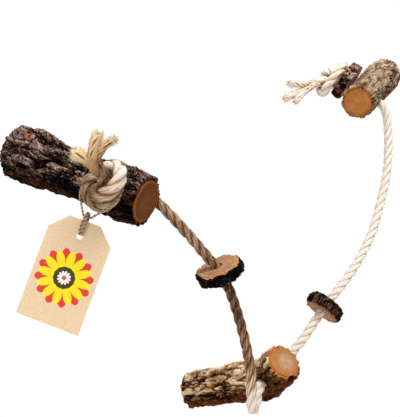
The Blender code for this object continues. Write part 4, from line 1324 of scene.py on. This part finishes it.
# %% [markdown]
# ## Sawn wood as a material
# Each log ends in a sawn face: growth rings round a pith that is never quite central, a few fine checks
# that run out from it, parallel marks from the saw, blotches where the wood took up water, and a
# stained rim under the bark. The rings are a ring wave on a UV map in millimetres that starts at the
# middle of the face, so one pattern serves every log whichever way it points. They are 2.2 mm apart,
# wider than in most branches, so that they show.

# %% Sawn wood material
RING_WIDTH_MM = 2.2
SAW_MARK_MM = 1.1
SAW_ANGLE = 0.6
PITH_MM = (1.2, -0.9, 0.0)
HEART_MM = (9.0, 12.5)
# Pores are finer than this, and drawn this coarse to show
PORE_MM = 0.625
BLOTCH_MM = 6.25


def sawn_finish(name, early, late, heart, rim):
    """Sawn end grain: pale early wood, darker late wood, a toned heart and a stained rim."""
    material, tree, shader = new_material(name)
    face = node(tree, "UVMap", uv_map="sawn")
    pith = node(tree, "Mapping", {"Vector": face.outputs[0], "Location": PITH_MM})
    rings = node(tree, "TexWave", {"Vector": pith.outputs[0], "Scale": 2 * math.pi / (20 * RING_WIDTH_MM),
                                   "Distortion": 2.4, "Detail": 2.0, "Detail Scale": 0.15},
                 wave_type="RINGS", rings_direction="Z", wave_profile="SAW")
    turned = node(tree, "Mapping", {"Vector": face.outputs[0], "Rotation": (0.0, 0.0, SAW_ANGLE)})
    marks = node(tree, "TexWave", {"Vector": turned.outputs[0], "Scale": 2 * math.pi / (20 * SAW_MARK_MM),
                                   "Distortion": 1.2, "Detail": 2.0, "Detail Scale": 0.5})
    fine = node(tree, "TexNoise", {"Vector": face.outputs[0], "Scale": 1 / PORE_MM, "Detail": 4.0})
    broad = node(tree, "TexNoise", {"Vector": face.outputs[0], "Scale": 1 / BLOTCH_MM, "Detail": 3.0})
    edge = node(tree, "Attribute", attribute_name="rim")

    away = node(tree, "VectorMath", {0: pith.outputs[0]}, operation="LENGTH")
    spread = node(tree, "Math", {0: broad.outputs["Fac"], 1: HEART_MM[0], 2: away.outputs["Value"]},
                  operation="MULTIPLY_ADD")
    core = node(tree, "MapRange", {"Value": spread.outputs[0], "From Min": HEART_MM[0],
                                   "From Max": HEART_MM[1], "To Min": 0.8, "To Max": 0.0})
    apart = node(tree, "SeparateXYZ", {0: pith.outputs[0]})
    angle = node(tree, "Math", {0: apart.outputs[1], 1: apart.outputs[0]}, operation="ARCTAN2")
    outward = node(tree, "Math", {0: away.outputs["Value"], 1: 0.06}, operation="MULTIPLY")
    spoke = node(tree, "CombineXYZ", {0: angle.outputs[0], 1: outward.outputs[0]})
    split = node(tree, "TexNoise", {"Vector": spoke.outputs[0], "Scale": 2.6, "Detail": 1.0})
    split = node(tree, "Math", {0: split.outputs["Fac"], 1: 0.5}, operation="SUBTRACT")
    split = node(tree, "Math", {0: split.outputs[0]}, operation="ABSOLUTE")
    check = node(tree, "MapRange", {"Value": split.outputs[0], "From Max": 0.014,
                                    "To Min": 0.7, "To Max": 0.0})
    stain = node(tree, "Math", {0: fine.outputs["Fac"], 1: 0.7, 2: edge.outputs["Fac"]},
                 operation="MULTIPLY_ADD")
    stain = node(tree, "MapRange", {"Value": stain.outputs[0], "From Min": 0.55, "From Max": 1.15})
    shown = colour(early)
    for amount, code in ((rings.outputs["Fac"], late), (core.outputs[0], heart),
                         (check.outputs[0], late), (stain.outputs[0], rim)):
        mix = node(tree, "Mix", {MIX_FACTOR: amount, MIX_FIRST: shown, MIX_SECOND: colour(code)},
                   data_type="RGBA")
        shown = mix.outputs[MIXED]

    scored = node(tree, "Math", {0: marks.outputs["Fac"], 1: fine.outputs["Fac"]}, operation="ADD")
    dust = node(tree, "MapRange", {"Value": scored.outputs[0], "From Max": 2.0,
                                   "To Min": 0.78, "To Max": 1.16})
    blotch = node(tree, "MapRange", {"Value": broad.outputs["Fac"], "From Min": 0.3, "From Max": 0.7,
                                     "To Min": 0.8, "To Max": 1.16})
    bright = node(tree, "Math", {0: dust.outputs[0], 1: blotch.outputs[0]}, operation="MULTIPLY")
    lit = node(tree, "VectorMath", {0: shown, "Scale": bright.outputs[0]}, operation="SCALE")
    bump = node(tree, "Bump", {"Height": scored.outputs[0], "Strength": 0.5, "Distance": 0.0003})
    tree.links.new(lit.outputs[0], shader.inputs["Base Color"])
    tree.links.new(bump.outputs[0], shader.inputs["Normal"])
    shader.inputs["Roughness"].default_value = 0.8
    shader.inputs["Specular IOR Level"].default_value = 0.15
    return material


# %% Five woods
# Old and dark, with rings that hardly show
DARK_WOOD = sawn_finish("sawn_dark_wood", "#854C1C", "#683812", "#7C4C22", "#8C5422")
# Fresh and warm, nearly even in tone
AMBER_WOOD = sawn_finish("sawn_amber_wood", "#C48042", "#AC6830", "#BC7A3E", "#A4642E")
# Warm outside, with a heart that has dried paler
ORANGE_WOOD = sawn_finish("sawn_orange_wood", "#B8804E", "#A06A3C", "#BE9874", "#B87438")
# Greyish pink, with late wood so much darker that its rings stand out
PINK_WOOD = sawn_finish("sawn_pink_wood", "#B88C66", "#8C603E", "#AE8864", "#BE8654")
# Dull tan, with softer rings and a brown rim
TAN_WOOD = sawn_finish("sawn_tan_wood", "#B48C68", "#94694A", "#B08A68", "#A86E3C")
WOODS = (DARK_WOOD, AMBER_WOOD, ORANGE_WOOD, PINK_WOOD, TAN_WOOD)
print("sawn woods:", [wood.name for wood in WOODS])


# %% [markdown]
# ## Wood cores
# Under the bark each log is one round of wood. A cylinder is added, its two sawn faces are inset to
# give the stained rim its own ring of faces, and rings are cut along it with bisect so that it can
# follow a crooked line. Then the vertices are carried onto the log's line, and the rope's hole is
# drilled.

# %% Wood core
CORE_SIDES = 96
CORE_RINGS = 9
# Shares of the radius: two insets for the rim's faces, and where the stained rim starts
RIM_INSETS = (0.03, 0.13)
RIM_START = 0.84
NOTCH = 0.0008
NOTCH_WAVES = 6
NOTCH_DRIFT = 3


def only_uv_map(piece, name, places):
    """Gives a piece one UV map, from the place of each vertex in millimetres."""
    loops = np.empty(len(piece.data.loops), dtype=int)
    piece.data.loops.foreach_get("vertex_index", loops)
    while piece.data.uv_layers:
        piece.data.uv_layers.remove(piece.data.uv_layers[0])
    piece.data.uv_layers.new(name=name).data.foreach_set("uv", places[loops].ravel())


def saw_core(name, line, girth, diameter, seed, material):
    """A round of wood along a line, with sawn faces at both ends."""
    clear_selection()
    bpy.ops.mesh.primitive_cylinder_add(vertices=CORE_SIDES, radius=1.0, depth=1.0,
                                        location=(0.0, 0.0, 0.5))
    piece = bpy.context.object
    piece.name = piece.data.name = name
    bpy.ops.object.transform_apply(location=True)
    bpy.ops.object.mode_set(mode="EDIT")
    bpy.ops.mesh.select_mode(type="FACE")
    bpy.ops.mesh.select_all(action="DESELECT")
    bpy.ops.object.mode_set(mode="OBJECT")
    for face in piece.data.polygons:
        face.select = abs(face.normal.z) > 0.9
    bpy.ops.object.mode_set(mode="EDIT")
    for thickness in RIM_INSETS:
        bpy.ops.mesh.inset(thickness=thickness)
    for share in np.linspace(0.0, 1.0, CORE_RINGS)[1:-1]:
        bpy.ops.mesh.select_all(action="SELECT")
        bpy.ops.mesh.bisect(plane_co=(0.0, 0.0, share), plane_no=(0.0, 0.0, 1.0))
    bpy.ops.object.mode_set(mode="OBJECT")
    local = np.array([v.co for v in piece.data.vertices])
    share = local[:, 2]
    turns = np.arctan2(local[:, 1], local[:, 0]) % (2 * math.pi)
    out = np.hypot(local[:, 0], local[:, 1])
    width = girth_radius(girth, diameter, share) - BARK_THICKNESS
    around = np.column_stack(
        [NOTCH_WAVES * np.cos(turns), NOTCH_WAVES * np.sin(turns), seed + NOTCH_DRIFT * share])
    width += NOTCH * (soft_noise(around) - 0.5) * (out > 0.9)
    across = (local[:, 0] * width, local[:, 1] * width)
    middle, sides_of, ups = on_line(line, share)
    points = middle + sides_of * across[0][:, None] + ups * across[1][:, None]
    piece.data.vertices.foreach_set("co", points.ravel())
    store(piece, "rim", np.clip((out - RIM_START) / RIM_INSETS[1], 0.0, 1.0))
    only_uv_map(piece, "sawn", np.column_stack(across) * 1000)
    piece.data.materials.append(material)
    bpy.ops.object.shade_smooth_by_angle(angle=math.radians(40.0))
    return piece


CORES = (("left", LEFT_LOG, DARK_WOOD), ("right", RIGHT_LOG, AMBER_WOOD), ("lower", LOWER_LOG, ORANGE_WOOD))
for side, log, wood in CORES:
    line, girth, diameter, seed, middle, hole_way = log
    core = saw_core(f"{side}_wood", line, girth, diameter, seed, wood)
    drill(core, middle, hole_way, 2 * diameter)
    joins(core, f"{side}_log", "sawn_wood", f"{side}_log_wood")
    print(core.name, len(core.data.polygons), "faces")


# %% [markdown]
# ## Slices
# Three slices of branch are threaded on the rope as spacers. They have bark and end grain as the logs
# do, so the same two functions make them, with shorter lines. Their bark is thick and dark, with
# furrows across the edge.

# %% Slices
SLICE_GIRTH = (0.97, 1.0, 1.0, 0.96)
SLICE_FLAKES = ((6.5, 3.8, 2.2, 3, 1.2, 0.06), (2.8, 1.7, 0.7, 3, 0.4, 0.05))
LEFT_SLICE_MIDDLE = LEFT_ROUTE[8]
LEFT_SLICE_ROPE = Vector((0.5457, 0.2927, -0.7852)).normalized()
RIGHT_SLICE_MIDDLE = RIGHT_ROUTE[6]
RIGHT_SLICE_ROPE = Vector((0.6289, 0.2503, 0.7361)).normalized()
END_SLICE_APART = 0.0218
END_SLICE_MIDDLE = RIGHT_LOG_MIDDLE - RIGHT_HOLE_WAY * END_SLICE_APART
SLICE_POINTS = 9
# Each slice: its middle, the way it faces, the way of its hole, diameter, thickness, seed, wood and bark
SLICES = (
    ("left", LEFT_SLICE_MIDDLE, Vector((0.36, 0.29, -0.89)), LEFT_SLICE_ROPE,
     0.0355, 0.0098, 2.2, PINK_WOOD, BLACK_BARK),
    ("right", RIGHT_SLICE_MIDDLE, Vector((0.615, 0.26, 0.74)), RIGHT_SLICE_ROPE,
     0.033, 0.0115, 3.6, TAN_WOOD, BROWN_BARK),
    ("end", END_SLICE_MIDDLE, RIGHT_HOLE_WAY, RIGHT_HOLE_WAY,
     0.0345, 0.011, 5.4, PINK_WOOD, RUSSET_BARK),
)
for side, middle, way, rope_way, diameter, thickness, seed, wood, bark in SLICES:
    half = way.normalized() * (thickness / 2)
    line = evenly(np.array([middle - half, middle + half]), SLICE_POINTS)
    shell = roll_bark(f"{side}_slice_rind", f"{side}_slice_bark", line, SLICE_GIRTH, diameter,
                      SLICE_FLAKES, seed, bark)
    joins(shell, f"{side}_slice", "dark_bark", f"{side}_slice_bark")
    core = saw_core(f"{side}_slice_core", line, SLICE_GIRTH, diameter, seed, wood)
    drill(core, middle, rope_way, 4 * thickness)
    joins(core, f"{side}_slice", "sawn_wood", f"{side}_slice_wood")
    print(shell.name, len(shell.data.polygons), "faces")


# %% [markdown]
# ## Twine
# The tag hangs on thin jute twine: a loop drawn round the left knot, and a doubled link from that loop
# through the card's hole. Jute is browner and stiffer than cotton. Twine is two plies laid round each
# other, so the function that laid the rope lays it too, with a short lay.

# %% Twine loop drawn tight
TWINE_DIAMETER = 0.0016
TWINE_CLEARANCE = 0.0005
TWINE_STEP = 0.0006
LOOP_STANDOFF = 0.0105
LOOP_BACK_STANDOFF = 0.0014
LOOP_POINTS = 72
LOOP_BODY_SHARE = 0.8
LOOP_SAG = 0.0026
LOOP_SAG_SPREAD = 0.35
LOOP_HELD_TURN = 0.22
LOOP_DIP_TURN = 0.6
LOOP_ROUNDS = 600
LOOP_PULL = 0.6
HITCH_ANGLE = math.radians(-102.0)


def drawn_tight(loop, turns, reach, held):
    """A closed line of twine drawn tight round the turns of a knot on a seat at Z = 0. It shortens step by
    step, while the knot's rope keeps it off by reach and its held points stay in place."""
    rope = evenly(turns, 4 * len(turns))
    kept = loop[held]
    each = np.arange(len(loop))
    for _ in range(LOOP_ROUNDS):
        loop = loop + LOOP_PULL * (0.5 * (np.roll(loop, 1, axis=0) + np.roll(loop, -1, axis=0)) - loop)
        for _ in range(3):
            apart = loop[:, None] - rope
            gap = np.linalg.norm(apart, axis=2)
            nearest = np.argmin(gap, axis=1)
            least = gap[each, nearest]
            loop += apart[each, nearest] * (np.maximum(reach - least, 0.0) / least)[:, None]
        loop[:, 2] = np.maximum(loop[:, 2], LOOP_BACK_STANDOFF)
        loop[held] = kept
    return loop


loop_offset = (KNOT_ROPE_DIAMETER + TWINE_DIAMETER) / 2 + TWINE_CLEARANCE
body = left_turns[:int(LOOP_BODY_SHARE * KNOT_POINTS), :2]
loop_turns = np.linspace(-math.pi, math.pi, LOOP_POINTS, endpoint=False)
slack = []
for turn in loop_turns:
    look = np.array([math.cos(turn + HITCH_ANGLE), math.sin(turn + HITCH_ANGLE)])
    sag = LOOP_SAG * math.exp(-((turn / LOOP_SAG_SPREAD) ** 2))
    dip = min(max(abs(turn) - LOOP_HELD_TURN, 0.0) / LOOP_DIP_TURN, 1.0)
    standoff = LOOP_STANDOFF + (LOOP_BACK_STANDOFF - LOOP_STANDOFF) * dip
    slack.append((*(body[np.argmax(body @ look)] + look * (loop_offset + sag)), standoff))
tight = drawn_tight(np.array(slack), left_turns, loop_offset, np.abs(loop_turns) <= LOOP_HELD_TURN)
loop = [left_seat + left_frame @ Vector(p) for p in tight]
hitch = loop[LOOP_POINTS // 2]
loop_line = through(loop + loop[:1], TWINE_STEP)
print("tag hangs from, mm:", [round(c * 1000, 1) for c in hitch])

# %% Twine loop
TWINE_LAY = 0.0055
TWINE_SOIL = 0.3
# Dull straw-brown plies with dark gaps of painted shade, so the twine stands out from the cream rope
JUTE = cotton(
    "jute_twine", ((0.0, "#D6BF98"), (1.0, "#A98A60")), ((0.0, "#8A6A44"), (1.0, "#6A4A2A")),
    yarn_lines=0.2)


def lay_twine(name, line, body, node_name):
    """Two plies of jute laid along a line."""
    radii = np.full(len(line), TWINE_DIAMETER / 2)
    piece = laid_rope(name, line, radii, JUTE, plies=2, lay=TWINE_LAY, sides=8)
    store(piece, "soil", np.full(len(piece.data.vertices), TWINE_SOIL))
    joins(piece, body, "twine_fibre", node_name)
    return piece


loop_twine = lay_twine("tag_loop_twine", loop_line, "rope", "tag_loop")

# %% Doubled link through the card
TAG_LEAN = math.radians(20.5)
TAG_STRING_DROP = 0.0125
TAG_HOLE_DIAMETER = 0.0042
CONTACT_GAP = 0.0003
LINK_APART = 0.0007
LINK_BOW = 0.0012
HITCH_RADIUS = 0.0027
LINK_TURN_POINTS = 9
FRONT = Vector((0.0, -1.0, 0.0))

fall = Vector((-math.sin(TAG_LEAN), 0.0, -math.cos(TAG_LEAN)))
across = Vector((math.cos(TAG_LEAN), 0.0, -math.sin(TAG_LEAN)))
tag_hole = hitch + fall * TAG_STRING_DROP
link_radius = TWINE_DIAMETER + TWINE_CLEARANCE
link_low = tag_hole - fall * ((TAG_HOLE_DIAMETER - TWINE_DIAMETER) / 2 - CONTACT_GAP + link_radius)


def link_turn(middle, radius, first_turn, last_turn, first_side, last_side):
    """Points of the link round a middle, moving from one side of the doubled twine to the other."""
    made = []
    for share in np.linspace(0.0, 1.0, LINK_TURN_POINTS):
        turn = first_turn + (last_turn - first_turn) * share
        side = first_side + (last_side - first_side) * share
        ring = (FRONT * math.cos(turn) - fall * math.sin(turn)) * radius
        made.append(middle + ring + across * (side * LINK_APART))
    return made


front_leg = hitch.lerp(link_low, 0.5) + FRONT * link_radius
link = link_turn(hitch, HITCH_RADIUS, math.pi / 2, math.pi, -1.0, -1.0)
link += link_turn(link_low, link_radius, math.pi, 2 * math.pi, -1.1, -1.1)
link.append(front_leg - across * LINK_BOW)
link += link_turn(hitch, HITCH_RADIUS, 0.0, math.pi, -1.0, 1.0)
link += link_turn(link_low, link_radius, math.pi, 2 * math.pi, 1.1, 1.1)
link.append(front_leg + across * LINK_BOW)
link += link_turn(hitch, HITCH_RADIUS, 0.0, math.pi / 2, 1.0, 1.0)
link_line = through(link, TWINE_STEP)
link_twine = lay_twine("tag_link_twine", link_line, "tag", "tag_string")


# %% [markdown]
# ## Card tag
# The tag is punched from kraft card, with clipped top corners and one hole, and it has curled a little.
# A plane is sized, its top corners are clipped with a vertex bevel, and bisect cuts give it enough
# faces to curl. Solidify makes it 0.6 mm thick. The print is a plain sunflower in flat inks: kraft
# takes ink unevenly, so the print is slightly mottled.

# %% Card tag
TAG_WIDTH = 0.041
TAG_LENGTH = 0.068
TAG_THICKNESS = 0.0006
TAG_CORNER_CUT = 0.0105
TAG_HOLE_INSET = 0.0100
TAG_CURL = 0.0007
# The curl in the middle of the card, and how much stronger it grows over the card's width
CURL_MIDDLE = 0.6
CURL_TWIST = 1.6
CARD_ROWS = 14
CARD_COLUMNS = 8


def card_bow(place):
    """How far the curled card stands forward at a place on it."""
    low = 0.5 - place.y / TAG_LENGTH
    return TAG_CURL * low * low * (CURL_MIDDLE + CURL_TWIST * place.x / TAG_WIDTH)


clear_selection()
bpy.ops.mesh.primitive_plane_add(size=1.0, location=(0.0, 0.0, 0.0))
card = bpy.context.object
card.name = card.data.name = "tag_kraft_card"
bpy.ops.object.mode_set(mode="EDIT")
bpy.ops.transform.resize(value=(TAG_WIDTH, TAG_LENGTH, 1.0))
bpy.ops.mesh.select_all(action="DESELECT")
bpy.ops.object.mode_set(mode="OBJECT")
for corner in card.data.vertices:
    corner.select = corner.co.y > 0
bpy.ops.object.mode_set(mode="EDIT")
bpy.ops.mesh.select_mode(type="VERT")
bpy.ops.mesh.bevel(offset=TAG_CORNER_CUT, offset_type="OFFSET", segments=1, affect="VERTICES")
for share in np.linspace(-0.5, 0.5, CARD_ROWS + 1)[1:-1]:
    bpy.ops.mesh.select_all(action="SELECT")
    bpy.ops.mesh.bisect(plane_co=(0.0, share * TAG_LENGTH, 0.0), plane_no=(0.0, 1.0, 0.0))
for share in np.linspace(-0.5, 0.5, CARD_COLUMNS + 1)[1:-1]:
    bpy.ops.mesh.select_all(action="SELECT")
    bpy.ops.mesh.bisect(plane_co=(share * TAG_WIDTH, 0.0, 0.0), plane_no=(1.0, 0.0, 0.0))
bpy.ops.object.mode_set(mode="OBJECT")
for corner in card.data.vertices:
    corner.co.z = card_bow(corner.co)
top_row = [corner.co.x for corner in card.data.vertices if corner.co.y > 0.499 * TAG_LENGTH]
print(f"card between its clipped corners: {(max(top_row) - min(top_row)) * 1000:.1f} mm")

# %% Thickness, hole and place of the card
PUNCH_LENGTH = 0.01

wall = card.modifiers.new("wall", "SOLIDIFY")
wall.thickness = TAG_THICKNESS
wall.offset = 0.0
bpy.ops.object.modifier_apply(modifier=wall.name)
hole_height = TAG_LENGTH / 2 - TAG_HOLE_INSET
punch_way = Vector((0.0, 0.0, 1.0))
drill(card, (0.0, hole_height, 0.0), punch_way, PUNCH_LENGTH, TAG_HOLE_DIAMETER, solver="EXACT")
store(card, "printed", [corner.co.z > card_bow(corner.co) for corner in card.data.vertices])
flat = np.array([corner.co for corner in card.data.vertices])
only_uv_map(card, "card", np.column_stack([flat[:, 0], hole_height - flat[:, 1]]) * 1000)
tilt = Matrix((across, -fall, FRONT)).transposed().to_4x4()
card.matrix_world = Matrix.Translation(tag_hole) @ tilt @ Matrix.Translation((0.0, -hole_height, 0.0))
card.select_set(True)
bpy.ops.object.transform_apply(location=True, rotation=True, scale=True)
bpy.ops.object.shade_smooth_by_angle(angle=math.radians(30.0))
joins(card, "tag", "kraft_card", "tag_card")
print("card:", [round(c * 1000, 1) for c in card.dimensions], "mm")

# %% Kraft card
# Clouds of pulp in each millimetre, so about 1.1 mm across
PULP_PER_MM = 0.9
# Dark fibres in each millimetre along and across: 3 mm long and 0.4 mm wide, coarse enough to show
FLECKS_PER_MM = (0.35, 2.6, 1.0)
FLECK_ANGLE = 0.5

# Brown paper pressed from long fibres: warm, matt and slightly cloudy, with dark flecks
kraft, tree, shader = new_material("printed_kraft_card")
sheet = node(tree, "UVMap", uv_map="card")
pulp = node(tree, "TexNoise", {"Vector": sheet.outputs[0], "Scale": PULP_PER_MM, "Detail": 4.0,
                               "Roughness": 0.65})
drawn = node(tree, "Mapping", {"Vector": sheet.outputs[0], "Rotation": (0.0, 0.0, FLECK_ANGLE),
                               "Scale": FLECKS_PER_MM})
flecks = node(tree, "TexNoise", {"Vector": drawn.outputs[0], "Scale": 1.0, "Detail": 3.0})
plain = node(tree, "ValToRGB", {"Fac": pulp.outputs["Fac"]}, stops=((0.3, "#D6B78F"), (0.7, "#E8CFAE")))
dark = node(tree, "MapRange", {"Value": flecks.outputs["Fac"], "From Min": 0.62, "From Max": 0.74,
                               "To Max": 0.45})
base = node(tree, "Mix", {MIX_FACTOR: dark.outputs[0], MIX_FIRST: plain.outputs[0],
                          MIX_SECOND: colour("#A67C4C")}, data_type="RGBA")
bump = node(tree, "Bump", {"Height": pulp.outputs["Fac"], "Strength": 0.3, "Distance": 0.0002})
tree.links.new(bump.outputs[0], shader.inputs["Normal"])
shader.inputs["Roughness"].default_value = 0.85
shader.inputs["Specular IOR Level"].default_value = 0.3
card.data.materials.append(kraft)
print("material:", kraft.name)

# %% Printed sunflower
PRINT_DROP_MM = 27.5
PETALS = 12
INK_EDGE_MM = 0.12
INK_COVER = 0.94

centred = node(tree, "VectorMath", {0: sheet.outputs[0], 1: (0.0, PRINT_DROP_MM, 0.0)},
               operation="SUBTRACT")
apart = node(tree, "SeparateXYZ", {0: centred.outputs[0]})
away = node(tree, "VectorMath", {0: centred.outputs[0]}, operation="LENGTH")
angle = node(tree, "Math", {0: apart.outputs[0], 1: apart.outputs[1]}, operation="ARCTAN2")
turned = node(tree, "Math", {0: angle.outputs[0], 1: PETALS / 2}, operation="MULTIPLY")
# Each ink: its colour, how its petals are turned, and the least and greatest reach of its shape, in mm
INKS = (("#D7261E", "SINE", 10.0, 18.5), ("#F2DE1C", "COSINE", 8.0, 17.0), ("#17130F", "SINE", 6.6, 7.0),
        ("#F6F1E8", "COSINE", 2.4, 4.4), ("#D7261E", "SINE", 1.4, 1.4))
shown = base.outputs[MIXED]
for ink, wave, least, most in INKS:
    swing = node(tree, "Math", {0: turned.outputs[0]}, operation=wave)
    petal = node(tree, "Math", {0: swing.outputs[0]}, operation="ABSOLUTE")
    petal = node(tree, "Math", {0: petal.outputs[0], 1: 0.6}, operation="POWER")
    reach = node(tree, "MapRange", {"Value": petal.outputs[0], "To Min": least, "To Max": most})
    inside = node(tree, "Math", {0: reach.outputs[0], 1: away.outputs["Value"]}, operation="SUBTRACT")
    cover = node(tree, "MapRange", {"Value": inside.outputs[0], "From Min": -INK_EDGE_MM,
                                    "From Max": INK_EDGE_MM, "To Max": INK_COVER})
    layer = node(tree, "Mix", {MIX_FACTOR: cover.outputs[0], MIX_FIRST: shown, MIX_SECOND: colour(ink)},
                 data_type="RGBA")
    shown = layer.outputs[MIXED]
side = node(tree, "Attribute", attribute_name="printed")
front = node(tree, "Math", {0: side.outputs["Fac"], 1: 0.5}, operation="GREATER_THAN")
both = node(tree, "Mix", {MIX_FACTOR: front.outputs[0], MIX_FIRST: base.outputs[MIXED], MIX_SECOND: shown},
            data_type="RGBA")
tree.links.new(both.outputs[MIXED], shader.inputs["Base Color"])
print("print:", len(INKS), "layers of ink")
